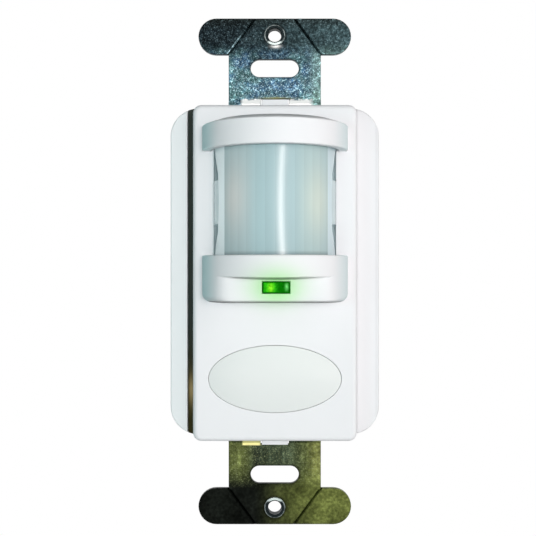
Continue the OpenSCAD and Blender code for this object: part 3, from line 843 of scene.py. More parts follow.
@dataclass(frozen=True)
class PlatedSteel(Finish):
    """Plated sheet steel, bluish above and olive below, with a crystalline speckle and painted light and shade."""

    upper_pale: Colour = tone(166, 200, 208)
    # Painted reflections: the upper ear dark on the left, lighter on the right.
    upper_dark: Colour = tone(17, 25, 29)
    upper_right: Colour = tone(42, 58, 61)
    upper_blue: Colour = tone(49, 77, 101)
    upper_green: Colour = tone(62, 95, 97)
    # Painted sheen near the right edge of the upper shank.
    upper_sheen: Colour = tone(124, 156, 138)
    upper_turn: Span = (-13.0, 12.0)
    lower: Colour = tone(60, 72, 56)
    lower_pale: Colour = tone(136, 146, 104)
    # Painted reflections and shade: the lower ear dark on the left, lighter on the right; the shank lighter at its
    # sides; the ends darker.
    lower_dark: Colour = tone(20, 23, 20)
    lower_light: Colour = tone(92, 101, 53)
    # Painted sheen near the right edge of the lower shank, also used for the painted yellow line above the top slope.
    lower_sheen: Colour = tone(150, 152, 92)
    lower_turn: Span = (-4.5, 9.5)
    halves: Span = (-20.0, 20.0)
    ear: Span = (41.5, 47.0)
    ear_shift: float = 2.5
    # Painted light: the lower shank lighter towards its sides.
    light_right: Span = (2.0, 9.0)
    light_left: Span = (-6.5, -3.6)
    light_share: float = 0.8
    brushed: Span = (3.2, -1.6)
    patch: Span = (0.36, 0.64)
    # Where the painted sheen lies across, and how strong it is above and below.
    sheen: Span = (6.0, 8.6)
    sheen_share: Span = (0.17, 0.25)
    streak: tuple[Point, Point] = ((-3.5, 0.0, -38.0), (1.0, 9.0, 3.4))
    streak_share: float = 0.75
    # Painted shade at the strap's ends, stronger at the top.
    end_edge: Span = (49.0, 51.8)
    end_share: Span = (0.55, 0.15)
    groove: tuple[Span, Span] = ((9.45, 44.45), (4.0, 51.85))
    burr_band: tuple[Span, Span] = ((0.05, 0.14), (0.3, 0.46))
    burr_run: tuple[Span, Span] = ((44.5, 44.7), (46.5, 49.5))
    burr_patch: Span = (0.36, 0.56)
    burr_share: Span = (0.5, 0.3)
    crystal: Span = (0.46, 0.8)
    crystal_end: Span = (41.0, 46.5)
    crystal_drop: float = -0.86
    crystal_share: Span = (0.4, 0.6)
    speckle: Span = (2.4, 3.0)
    speckle_base: Span = (-1.15, -1.4)
    cloud: Span = (2.6, -1.3)
    # Painted shade around the slots and screw holes.
    slot: Point = (3.15, 41.65, 1.8)
    slot_rim: Span = (-0.1, 0.8)
    hole: Span = (48.42, 2.15)
    hole_rim: Span = (-0.1, 0.7)
    rim_tone: Span = (0.6, 0.4)
    cover_edge: Span = (33.0, 33.4)
    # Painted shade where the strap shows beside the cover; lower down a painted olive reflection and a painted gleam.
    hidden: Colour = tone(51, 58, 54)
    hidden_low: Colour = tone(54, 52, 30)
    hidden_turn: Span = (-26.0, -8.0)
    gleam: Colour = tone(156, 140, 98)
    gleam_at: tuple[Point, Point] = ((-17.0, 0.0, -24.2), (0.6, 9.0, 2.8))
    # Painted highlights: white on the upper slope of the bend, yellow on the lower, a yellow line above the top slope,
    # a gleam between slot and hole.
    ramp: Span = (33.2, 33.4)
    seam: tuple[Point, Point] = ((0.2, 0.0, 35.45), (3.0, 9.0, 0.26))
    seam_share: float = 0.8
    bend: Colour = tone(250, 252, 250)
    bend_run: tuple[Span, Span] = ((-7.2, -6.4), (6.8, 8.2))
    bend_end: Span = (35.4, 35.9)
    painted_glint: Colour = tone(246, 242, 168)
    glint_run: tuple[Span, Span] = ((-6.8, -6.4), (-3.1, -2.7))
    glint_end: Span = (35.5, 35.75)
    beam: tuple[Point, Point] = ((0.2, 0.0, 46.15), (0.85, 9.0, 0.34))
    beam_share: float = 0.9
    gloss: Span = (0.2, 0.34)

    def dress(self, shader: Shader) -> None:
        """Set the plating's colours, painted light and shade, speckle and gloss.

        Args:
            shader: The material.
        """
        x, _, z = shader.axes()
        height = shader.size(z)
        top = shader.step(z, *self.halves)
        plate = self.burr(shader, x, height, top, self.plate(shader, x, height, top))
        light = shader.times(shader.step(shader.noise(0.25, 1.5), *self.crystal),
                             shader.line(shader.step(height, *self.crystal_end), self.crystal_drop,
                                         shader.line(top, *self.crystal_share)))
        plate = shader.mix(light, plate, shader.mix(top, self.lower_pale, self.upper_pale))
        speckle = shader.line(shader.noise(0.55, 2.0), shader.line(top, *self.speckle),
                              shader.line(top, *self.speckle_base))
        uneven = shader.math("ADD", speckle, shader.line(shader.noise(3.2, 3.0), *self.cloud))
        # Speckle and cloud, with painted shade around the openings.
        dull = shader.times(self.rim(shader, shader.size(x), height), shader.math("POWER", 2.0, uneven))
        # Painted shade on the strap beside the cover, with a painted olive reflection and a painted gleam.
        hidden = shader.mix(shader.fall(z, *self.hidden_turn), self.hidden, self.hidden_low)
        hidden = shader.mix(shader.glow(*self.gleam_at), hidden, self.gleam)
        colour = shader.mix(shader.fall(height, *self.cover_edge), shader.shade(plate, dull), hidden)
        grain = shader.noise(0.3, 4.0)
        shader.put(Base_Color=self.ramps(shader, x, height, top, colour), Metallic=1.0,
                   Roughness=shader.line(grain, *self.gloss))
        shader.bump(grain, 0.015, 0.5)

    def plate(self, shader: Shader, x: Any, height: Any, top: Any) -> Any:
        """Plating's tone before its speckle, with painted reflections on the ears and shank and painted shade at the
        ends.

        Args:
            shader: The material.
            x: Place across.
            height: Distance from the middle of the strap.
            top: 1 on the upper half.

        Returns:
            The colour's output.
        """
        ear = shader.step(shader.line(top, -self.ear_shift, shader.math("ADD", height, self.ear_shift)), *self.ear)
        # Painted light: the lower shank lighter towards its sides.
        left = shader.times(shader.fall(x, *self.light_left), self.light_share)
        sides = shader.math("MAXIMUM", shader.step(x, *self.light_right), left)
        brushed = shader.line(shader.noise(1.3, 2.0, (1.0, 1.0, 0.07)), *self.brushed)
        lower = shader.shade(shader.mix(sides, self.lower, self.lower_light), shader.math("POWER", 2.0, brushed))
        patch = shader.step(shader.noise(3.4, 2.0), *self.patch)
        shank = shader.mix(top, lower, shader.mix(patch, self.upper_blue, self.upper_green))
        # Painted sheen near the right edge of the shank.
        sheen = shader.times(shader.step(x, *self.sheen), shader.line(top, *self.sheen_share))
        shank = shader.mix(sheen, shank, shader.mix(top, self.lower_sheen, self.upper_sheen))
        # Painted reflections: the ears dark on the left, lighter on the right.
        upper_ear = shader.mix(shader.step(x, *self.upper_turn), self.upper_dark, self.upper_right)
        lower_ear = shader.mix(shader.step(x, *self.lower_turn), self.lower_dark, self.lower_light)
        plate = shader.mix(ear, shank, shader.mix(top, lower_ear, upper_ear))
        plate = shader.mix(shader.times(shader.glow(*self.streak), self.streak_share), plate, self.lower_dark)
        # Painted shade at the strap's ends.
        edge = shader.times(shader.step(height, *self.end_edge), shader.line(top, *self.end_share))
        return shader.mix(edge, plate, self.lower_dark)

    def burr(self, shader: Shader, x: Any, height: Any, top: Any, plate: Any) -> Any:
        """Pale burr beside the groove of the upper left ear.

        Args:
            shader: The material.
            x: Place across.
            height: Distance from the middle of the strap.
            top: 1 on the upper half.
            plate: Colour around it.

        Returns:
            The colour's output.
        """
        (x0, z0), (x1, z1) = self.groove
        run = math.hypot(x1 - x0, z1 - z0)
        off = shader.math("ADD", shader.line(x, -(z1 - z0) / run, -x0 * (z1 - z0) / run),
                          shader.line(height, -(x1 - x0) / run, z0 * (x1 - x0) / run))
        patchy = shader.line(shader.step(shader.noise(1.1, 2.0), *self.burr_patch), *self.burr_share)
        share = shader.times(shader.between(off, *self.burr_band), shader.between(height, *self.burr_run), top, patchy)
        return shader.mix(share, plate, self.upper_pale)

    def ramps(self, shader: Shader, x: Any, height: Any, top: Any, colour: Any) -> Any:
        """Painted highlights on the bend's slopes, in a line above the top slope, and between slot and hole.

        Args:
            shader: The material.
            x: Place across.
            height: Distance from the middle of the strap.
            top: 1 on the upper half.
            colour: Colour around them.

        Returns:
            The colour's output.
        """
        # Painted yellow highlight line above the top slope.
        colour = shader.mix(shader.times(shader.glow(*self.seam), self.seam_share), colour, self.lower_sheen)
        # Painted highlights on the slopes: white above, yellow below.
        ramp = shader.step(height, *self.ramp)
        frayed = shader.line(shader.noise(0.9, 2.0), 1.0, height)
        above = shader.times(ramp, top, shader.between(x, *self.bend_run), shader.fall(frayed, *self.bend_end))
        below = shader.times(ramp, shader.less(1.0, top), shader.between(x, *self.glint_run),
                             shader.fall(height, *self.glint_end))
        colour = shader.mix(below, shader.mix(above, colour, self.bend), self.painted_glint)
        # Painted gleam between the upper slot and hole.
        return shader.mix(shader.times(shader.glow(*self.beam), self.beam_share), colour, self.bend)

    def rim(self, shader: Shader, aside: Any, height: Any) -> Any:
        """Painted shade around the slots and the screw holes.

        Args:
            shader: The material.
            aside: Distance from the middle line.
            height: Distance from the middle of the strap.

        Returns:
            A factor below 1 next to an opening.
        """
        half, at, radius = self.slot
        over = shader.math("MAXIMUM", shader.less(aside, half), 0.0)
        slot = shader.less(shader.length(over, shader.less(height, at)), radius)
        hole = shader.less(shader.length(aside, shader.less(height, self.hole[0])), self.hole[1])
        near = shader.times(shader.step(slot, *self.slot_rim), shader.step(hole, *self.hole_rim))
        return shader.line(near, *self.rim_tone)


@dataclass(frozen=True)
class LensPlastic(Finish):
    """Milky lens plastic with upright sectors, and painted light and shade: warm glows beside the middle, pale bands.
    """

    colour: Colour = tone(168, 195, 199)
    # Painted light: warm glows inside the lens, beside its middle.
    warm: Colour = tone(224, 222, 218)
    warm_right: Colour = tone(212, 221, 208)
    # Painted light on the side bands, paler on the left, with painted shade towards their ends.
    band: Colour = tone(240, 252, 254)
    band_right: Colour = tone(208, 228, 234)
    band_end_shade: float = -0.24
    tab: Colour = tone(190, 210, 213)
    tab_soft: Span = (0.0, 0.12)
    # Painted shading: tone rises across each sector.
    sector: float = 9.0
    sector_shading: Span = (0.06, 0.97)
    joint: Span = (0.4, 0.5)
    joint_dark: float = 0.04
    axis_y: float = 0.0
    half: float = 54.0
    half_soft: float = 0.3
    skew: float = -3.0
    # Painted warm light on the flanks and in a spot on each side.
    flank: tuple[Span, Span] = ((14.0, 30.0), (42.0, 54.0))
    flank_drop: float = -0.6
    flank_warm: float = 0.16
    spot: tuple[Point, Point] = ((-8.0, -9.0, 0.6), (2.6, 6.0, 6.5))
    spot_right: tuple[Point, Point] = ((8.2, -9.0, -0.2), (2.8, 6.0, 6.5))
    spot_warm: float = 0.66
    middle: float = 13.45
    reach: float = 10.3
    # Painted shade near the lens's foot and towards both ends.
    foot: Span = (-0.985, -0.91)
    foot_shade: Span = (0.32, 0.68)
    ends_shade: Span = (-0.11, 1.01)
    bow: Span = (10.83, 0.96)
    cloud: Span = (0.06, 0.97)
    # Painted glow: the side bands give off a little light of their own, more on the left.
    through: Span = (-0.08, 0.13)
    sway: float = 0.036

    def dress(self, shader: Shader) -> None:
        """Set the sectors' tones and the gloss of the skin.

        Args:
            shader: The material.
        """
        x, y, z = shader.axes()
        right = shader.step(x, *MIDDLE)
        turn = shader.math("DEGREES", shader.math("ARCTAN2", x, shader.less(self.axis_y, y)))
        aside = shader.size(turn)
        height = shader.line(z, 1 / self.reach, -self.middle / self.reach)
        square = shader.times(height, height)
        # Painted shade near the foot and towards both ends.
        foot = shader.line(shader.step(height, *self.foot), *self.foot_shade)
        sectors = shader.times(self.sectors(shader, turn), foot, shader.line(square, *self.ends_shade))
        milk = shader.shade(self.milk(shader, aside, right), sectors)
        edge = shader.line(right, self.skew, aside)
        plain = shader.step(edge, self.half - self.half_soft, self.half + self.half_soft)
        # Side bands with painted light, paler on the left, and painted shade towards their ends.
        band = shader.shade(shader.mix(right, self.band, self.band_right), shader.line(square, self.band_end_shade, 1.0))
        bow = shader.less(shader.size(x), shader.line(square, self.bow[1], self.bow[0]))
        tones = shader.mix(shader.step(bow, *self.tab_soft), shader.mix(plain, milk, band), self.tab)
        cloud = shader.line(shader.noise(1.6, 3.0, (1.0, 1.0, 0.25)), *self.cloud)
        # Painted glow of the side bands, stronger on the left.
        through = shader.times(plain, shader.line(right, *self.through))
        shader.put(Base_Color=shader.shade(tones, cloud), Roughness=0.45, Specular_IOR_Level=0.2, Coat_Weight=1.0,
                   Coat_Roughness=0.26, Coat_IOR=1.6, Emission_Color=shader.shade(tones, through),
                   Emission_Strength=1.0)
        shader.bump(shader.noise(0.5, 2.0), 0.003, 0.3)
        shader.bump(shader.times(shader.less(square, 1.0), x), self.sway, 1.0, "Coat_Normal")

    def sectors(self, shader: Shader, turn: Any) -> Any:
        """Painted shading across each sector, with the sectors' darker joints.

        Args:
            shader: The material.
            turn: Angle around the lens in degrees.

        Returns:
            A factor around 1.
        """
        share = shader.math("FRACT", shader.line(turn, 1 / self.sector, 40.0))
        edge = shader.step(shader.size(shader.less(share, 0.5)), *self.joint)
        return shader.less(shader.line(share, *self.sector_shading), shader.times(edge, self.joint_dark))

    def milk(self, shader: Shader, aside: Any, right: Any) -> Any:
        """Milky colour with painted warm light in a spot on each side and on the flanks.

        Args:
            shader: The material.
            aside: Angle from the middle in degrees.
            right: 1 on the right half.

        Returns:
            The colour's output.
        """
        # Painted warm light in a spot on each side.
        spots = [shader.glow((dx, self.axis_y + dy, self.middle + dz), size)
                 for (dx, dy, dz), size in (self.spot, self.spot_right)]
        inner, outer = self.flank
        flank = shader.times(shader.step(aside, *inner), shader.line(shader.step(aside, *outer), self.flank_drop, 1.0))
        both = shader.times(shader.math("ADD", *spots, clamp=True), self.spot_warm)
        warm = shader.mix(right, self.warm, self.warm_right)
        return shader.mix(shader.line(flank, self.flank_warm, both), self.colour, warm)


@dataclass(frozen=True)
class LampPlastic(Finish):
    """Green light pipe with a bright lobe on each side of a dark middle."""

    lamp: Point = (0.0, 0.0, 0.0)
    dark: Colour = tone(8, 118, 4)
    mid: Colour = tone(40, 190, 22)
    mid_half: float = 0.7
    bright: Colour = tone(140, 252, 44)
    bright_lobe: tuple[Point, Point] = ((-1.05, 0.0, -0.05), (0.5, 9.0, 0.8))
    pale: Colour = tone(120, 238, 120)
    pale_lobe: tuple[Point, Point] = ((2.05, 0.0, 0.15), (0.34, 9.0, 0.6))
    # Dark border at the window's edge: partly the pipe's own edge, partly painted shade of the gap around the pipe.
    border: Colour = tone(14, 104, 12)
    half: Span = (2.6, 1.1)
    border_x: Span = (0.8, 0.96)
    border_z: Span = (0.62, 0.92)
    ripple: Span = (1.5, 0.2)
    glow: float = 0.85
    skin: float = 0.2

    def dress(self, shader: Shader) -> None:
        """Set the lobes, the rim and the glow.

        Args:
            shader: The material.
        """
        x, _, z = shader.axes()
        cx, cy, cz = self.lamp
        lit = shader.mix(shader.fall(x, cx - self.mid_half, cx + self.mid_half), self.dark, self.mid)
        for colour, ((dx, dy, dz), size) in ((self.bright, self.bright_lobe), (self.pale, self.pale_lobe)):
            lit = shader.mix(shader.glow((cx + dx, cy + dy, cz + dz), size), lit, colour)
        across, up = (shader.size(shader.line(value, 1 / half, -at / half))
                      for value, at, half in zip((x, z), (cx, cz), self.half))
        # Dark border: the pipe's edge with painted shade of the gap.
        edge = shader.math("MAXIMUM", shader.step(across, *self.border_x), shader.step(up, *self.border_z))
        ripple = shader.line(shader.noise(0.42, 2.0), *self.ripple)
        colour = shader.shade(shader.mix(edge, lit, self.border), ripple)
        shader.put(Base_Color=shader.shade(colour, self.skin), Roughness=0.3, Specular_IOR_Level=0.0,
                   Emission_Color=colour, Emission_Strength=self.glow)


@dataclass(frozen=True)
class BrightMetal(Finish):
    """Plain metal of small parts, with fine turning marks."""

    colour: Colour
    roughness: float = 0.3
    spread: Span = (0.15, -0.07)
    mark: float = 0.18
    mark_tone: Span = (0.3, 0.85)

    def dress(self, shader: Shader) -> None:
        """Set metal, gloss and marks.

        Args:
            shader: The material.
        """
        marks = shader.noise(self.mark, 3.0, (1.0, 0.2, 1.0))
        rough, below = self.spread
        shader.put(Base_Color=shader.shade(self.colour, shader.line(marks, *self.mark_tone)), Metallic=1.0,
                   Roughness=shader.line(marks, rough, self.roughness + below))
        shader.bump(marks, 0.006, 0.4)


@dataclass(frozen=True)
class CollarSteel(BrightMetal):
    """Steel of the tapped collars, with a painted highlight on the side towards the switch and painted glints on the
    ring.
    """

    painted_highlight: Colour = tone(214, 228, 226)
    hole_at: float = 48.42
    side: Span = (1.1, 1.6)
    bore: Span = (1.55, 1.66)
    ring: Span = (1.92, 2.0)
    ring_share: float = 0.5
    painted_glint: Span = (0.3, 0.6)

    def dress(self, shader: Shader) -> None:
        """Set metal, the painted highlight on the side towards the switch and the painted glints on the ring.

        Args:
            shader: The material.
        """
        super().dress(shader)
        x, _, z = shader.axes()
        inwards = shader.less(self.hole_at, shader.size(z))
        radius = shader.length(x, inwards)
        # Painted highlight on the bore's side towards the switch, and painted glints on the outer ring.
        bright = shader.times(shader.step(inwards, *self.side), shader.step(radius, *self.bore))
        ring = shader.times(shader.step(radius, *self.ring), shader.step(shader.noise(0.8, 2.0), *self.painted_glint),
                            self.ring_share)
        base = shader.surface.inputs["Base Color"].links[0].from_socket
        shader.put(Base_Color=shader.mix(shader.math("MAXIMUM", bright, ring), base, self.painted_highlight))


@dataclass(frozen=True)
class BoardLaminate(Finish):
    """Green circuit board with faint copper lines under the lacquer."""

    colour: Colour = tone(18, 92, 54)
    copper: Colour = tone(52, 138, 72)
    cell: float = 2.4
    track: Span = (0.5, 0.56)
    weave: Span = (0.2, 0.9)

    def dress(self, shader: Shader) -> None:
        """Set lacquer, lines and weave.

        Args:
            shader: The material.
        """
        cells = shader.nodes.new("ShaderNodeTexVoronoi")
        cells.distance = "MANHATTAN"
        shader.feed(cells.inputs["Vector"], shader.place)
        cells.inputs["Scale"].default_value = 1 / (self.cell * MM)
        lines = shader.step(cells.outputs["Distance"], *self.track)
        weave = shader.line(shader.noise(0.3, 2.0), *self.weave)
        shader.put(Base_Color=shader.shade(shader.mix(lines, self.colour, self.copper), weave), Roughness=0.3)
        shader.bump(lines, 0.03, 0.5)


WHITE = tone(243, 242, 244)
LAMP_AT: Point = (0.15, -18.46, -2.97)


class Finishes:
    """The finishes of the switch, by their use."""

    cover = LitPlastic("cover_white", WHITE, lamp=LAMP_AT)
    button = MouldedPlastic("button_white", tone(236, 238, 236), roughness=0.4, gloss=0.3)
    wing = WingPlastic("wing_white", tone(249, 251, 252), roughness=0.42)
    strap = PlatedSteel("plated_steel")
    lens = LensPlastic("lens_milk", axis_y=-8.3)
    lamp = LampPlastic("lamp_green", lamp=LAMP_AT)
    screw = BrightMetal("screw_steel", tone(190, 194, 198))
    black = MouldedPlastic("black_plastic", tone(26, 28, 28), roughness=0.5)
    steel = BrightMetal("can_steel", tone(188, 190, 194), 0.35)
    collar = CollarSteel("collar_steel", tone(34, 42, 44), 0.3)
    thread = BrightMetal("thread_steel", tone(40, 48, 50), 0.4)
    brass = BrightMetal("contact_brass", tone(214, 176, 92), 0.28)
    # Painted light: the retainer is near white, standing in for light that reaches it through the milky lens.
    shade = MouldedPlastic("shade_plastic", tone(232, 246, 248), roughness=0.5)
    board = BoardLaminate("board_green")
    ceramic = MouldedPlastic("lamp_ceramic", tone(232, 230, 214), roughness=0.5)
    dark_glass = MouldedPlastic("filter_dark", tone(22, 20, 30), roughness=0.12)
    film = MouldedPlastic("film_yellow", tone(206, 146, 40), roughness=0.3)
    sleeve = MouldedPlastic("capacitor_sleeve", tone(44, 46, 52), roughness=0.3)
    blue = MouldedPlastic("varistor_blue", tone(36, 62, 142), roughness=0.25)
    resistor = MouldedPlastic("resistor_grey", tone(112, 122, 120), roughness=0.4)


# Geometry Nodes


class Recipe:
    """A Geometry Nodes tree that is built in code, with named sizes."""

    def __init__(self, name: str) -> None:
        """Make an empty tree with a geometry going in and out.

        Args:
            name: Name of the tree.
        """
        self.tree = bpy.data.node_groups.new(name, "GeometryNodeTree")
        face = self.tree.interface
        face.new_socket(name="Places", in_out="INPUT", socket_type="NodeSocketGeometry")
        face.new_socket(name="Geometry", in_out="OUTPUT", socket_type="NodeSocketGeometry")
        self.begin = self.tree.nodes.new("NodeGroupInput")
        self.end = self.tree.nodes.new("NodeGroupOutput")
        self.values: dict[str, float] = {}

    def size(self, name: str, value: float) -> Any:
        """Add a named size in metres.

        Args:
            name: Its name.
            value: Its value for this object, in millimetres.

        Returns:
            The output that gives it inside the tree.
        """
        socket = self.tree.interface.new_socket(name=name, in_out="INPUT", socket_type="NodeSocketFloat")
        self.values[socket.identifier] = value * MM
        return self.begin.outputs[name]

    def node(self, kind: str, inputs: dict[Any, Any], **settings: Any) -> Any:
        """Add a node.

        Args:
            kind: Blender's name of the node type.
            inputs: Values or outputs for its inputs, by name or number.
            settings: Attributes of the node.

        Returns:
            The node's first output.
        """
        node = self.tree.nodes.new(kind)
        for name, value in settings.items():
            setattr(node, name, value)
        for name, value in inputs.items():
            for one in value if isinstance(value, list) else [value]:
                if isinstance(one, bpy.types.NodeSocket):
                    self.tree.links.new(one, node.inputs[name])
                else:
                    node.inputs[name].default_value = one
        return node.outputs[0]

    def part(self, value: Any, share: float = 0.5) -> Any:
        """Half of a size, or another share of it."""
        return self.node("ShaderNodeMath", {0: value, 1: share}, operation="MULTIPLY")

    def vector(self, x: Any = 0.0, y: Any = 0.0, z: Any = 0.0) -> Any:
        """Put three numbers together."""
        return self.node("ShaderNodeCombineXYZ", {"X": x, "Y": y, "Z": z})

    def move(self, shape: Any, offset: Any, turn: Point = (0.0, 0.0, 0.0)) -> Any:
        """Move and turn a shape."""
        return self.node("GeometryNodeTransform", {"Geometry": shape, "Translation": offset, "Rotation": turn})

    def cylinder(self, sides: int, diameter: Any, length: Any, middle: Any) -> Any:
        """Upright cylinder with a number of sides, placed by the height of its middle."""
        inputs = {"Vertices": sides, "Radius": self.part(diameter), "Depth": length}
        return self.move(self.node("GeometryNodeMeshCylinder", inputs), self.vector(z=middle))

    def bake(self, name: str, shape: Any, places: Sequence[Point], finish: Finish, sharp: float) -> bpy.types.Object:
        """Set the shape at each place and keep the result as a plain mesh.

        Args:
            name: Name of the piece.
            shape: Output with one copy of the shape.
            places: Where the copies go, in millimetres.
            finish: Finish of the piece.
            sharp: Angle from which edges stay sharp.

        Returns:
            The piece.
        """
        copies = self.node("GeometryNodeInstanceOnPoints", {"Points": self.begin.outputs[0], "Instance": shape})
        plain = self.node("GeometryNodeRealizeInstances", {"Geometry": copies})
        dressed = self.node("GeometryNodeSetMaterial", {"Geometry": plain, "Material": finish.material()})
        self.tree.links.new(dressed, self.end.inputs[0])
        mesh = bpy.data.meshes.new(name)
        mesh.from_pydata(metres(places), [], [])
        piece = show(name, mesh)
        modifier = piece.modifiers.new(name, "NODES")
        modifier.node_group = self.tree
        for identifier, value in self.values.items():
            modifier[identifier] = value
        settle(piece)
        smooth(piece.data, sharp)
        return piece


@dataclass
class ScrewSet:
    """Cross-drive screws along Y that share one size."""

    name: str
    head_d: float
    head_h: float
    shank_d: float
    reach: float
    drive_w: float
    drive_h: float
    places: list[Point]
    faces_rear: bool = True
    body_share: float = 0.62
    crown_share: float = 0.38
    crown_top: float = 0.36
    drive_share: float = 0.62
    shank_at: float = -0.498

    def build(self) -> bpy.types.Object:
        """Make the screws with Geometry Nodes.

        Returns:
            One piece with all screws of the set.
        """
        recipe = Recipe(self.name)
        head_d, head_h, shank_d, reach, drive_w, drive_h = (recipe.size(label, value) for label, value in (
            ("Head diameter", self.head_d), ("Head height", self.head_h), ("Shank diameter", self.shank_d),
            ("Shank length", self.reach), ("Drive width", self.drive_w), ("Drive depth", self.drive_h)))
        low = recipe.part(head_h, self.body_share)
        rim_h = recipe.part(head_h, self.crown_share)
        body = recipe.cylinder(36, head_d, low, recipe.part(low))
        crown = recipe.node("GeometryNodeMeshCone", {
            "Vertices": 36, "Side Segments": 1, "Radius Top": recipe.part(head_d, self.crown_top),
            "Radius Bottom": recipe.part(head_d), "Depth": rim_h})
        crown = recipe.move(crown, recipe.vector(z=low))
        shank = recipe.cylinder(28, shank_d, reach, recipe.part(reach, self.shank_at))
        size = recipe.vector(recipe.part(head_d, self.drive_share), drive_w, recipe.part(drive_h, 2.0))
        bar = recipe.node("GeometryNodeMeshCube", {"Size": size})
        bar = recipe.move(bar, recipe.vector(z=head_h))
        cross = recipe.move(bar, (0.0, 0.0, 0.0), (0.0, 0.0, math.pi / 2))
        whole = recipe.node("GeometryNodeMeshBoolean", {"Mesh 2": [body, crown, shank]}, operation="UNION")
        cut = recipe.node("GeometryNodeMeshBoolean", {"Mesh 1": whole, "Mesh 2": [bar, cross]}, operation="DIFFERENCE")
        quarter = -math.pi / 2 if self.faces_rear else math.pi / 2
        along = recipe.move(cut, (0.0, 0.0, 0.0), (quarter, 0.0, 0.0))
        return recipe.bake(self.name, along, self.places, Finishes.screw, 30.0)


@dataclass
class TappedHoles:
    """Thread turns inside the plate screw holes."""

    name: str
    bore_d: float
    pitch: float
    depth: float
    places: list[Point]
    ridge: float = 0.16

    def build(self) -> bpy.types.Object:
        """Make the turns with Geometry Nodes.

        Returns:
            One piece with the turns of both holes.
        """
        recipe = Recipe(self.name)
        bore_d = recipe.size("Bore diameter", self.bore_d)
        depth = recipe.size("Depth", self.depth)
        ridge = recipe.size("Ridge", self.pitch * self.ridge)
        line = recipe.node("GeometryNodeCurveSpiral", {
            "Resolution": 28, "Rotations": self.depth / self.pitch, "Start Radius": recipe.part(bore_d),
            "End Radius": recipe.part(bore_d), "Height": depth})
        section = recipe.node("GeometryNodeCurvePrimitiveCircle", {"Resolution": 5, "Radius": ridge})
        turns = recipe.node("GeometryNodeCurveToMesh", {"Curve": line, "Profile Curve": section, "Fill Caps": True})
        along = recipe.move(turns, (0.0, 0.0, 0.0), (-math.pi / 2, 0.0, 0.0))
        return recipe.bake(self.name, along, self.places, Finishes.thread, 50.0)


# Sub-assemblies


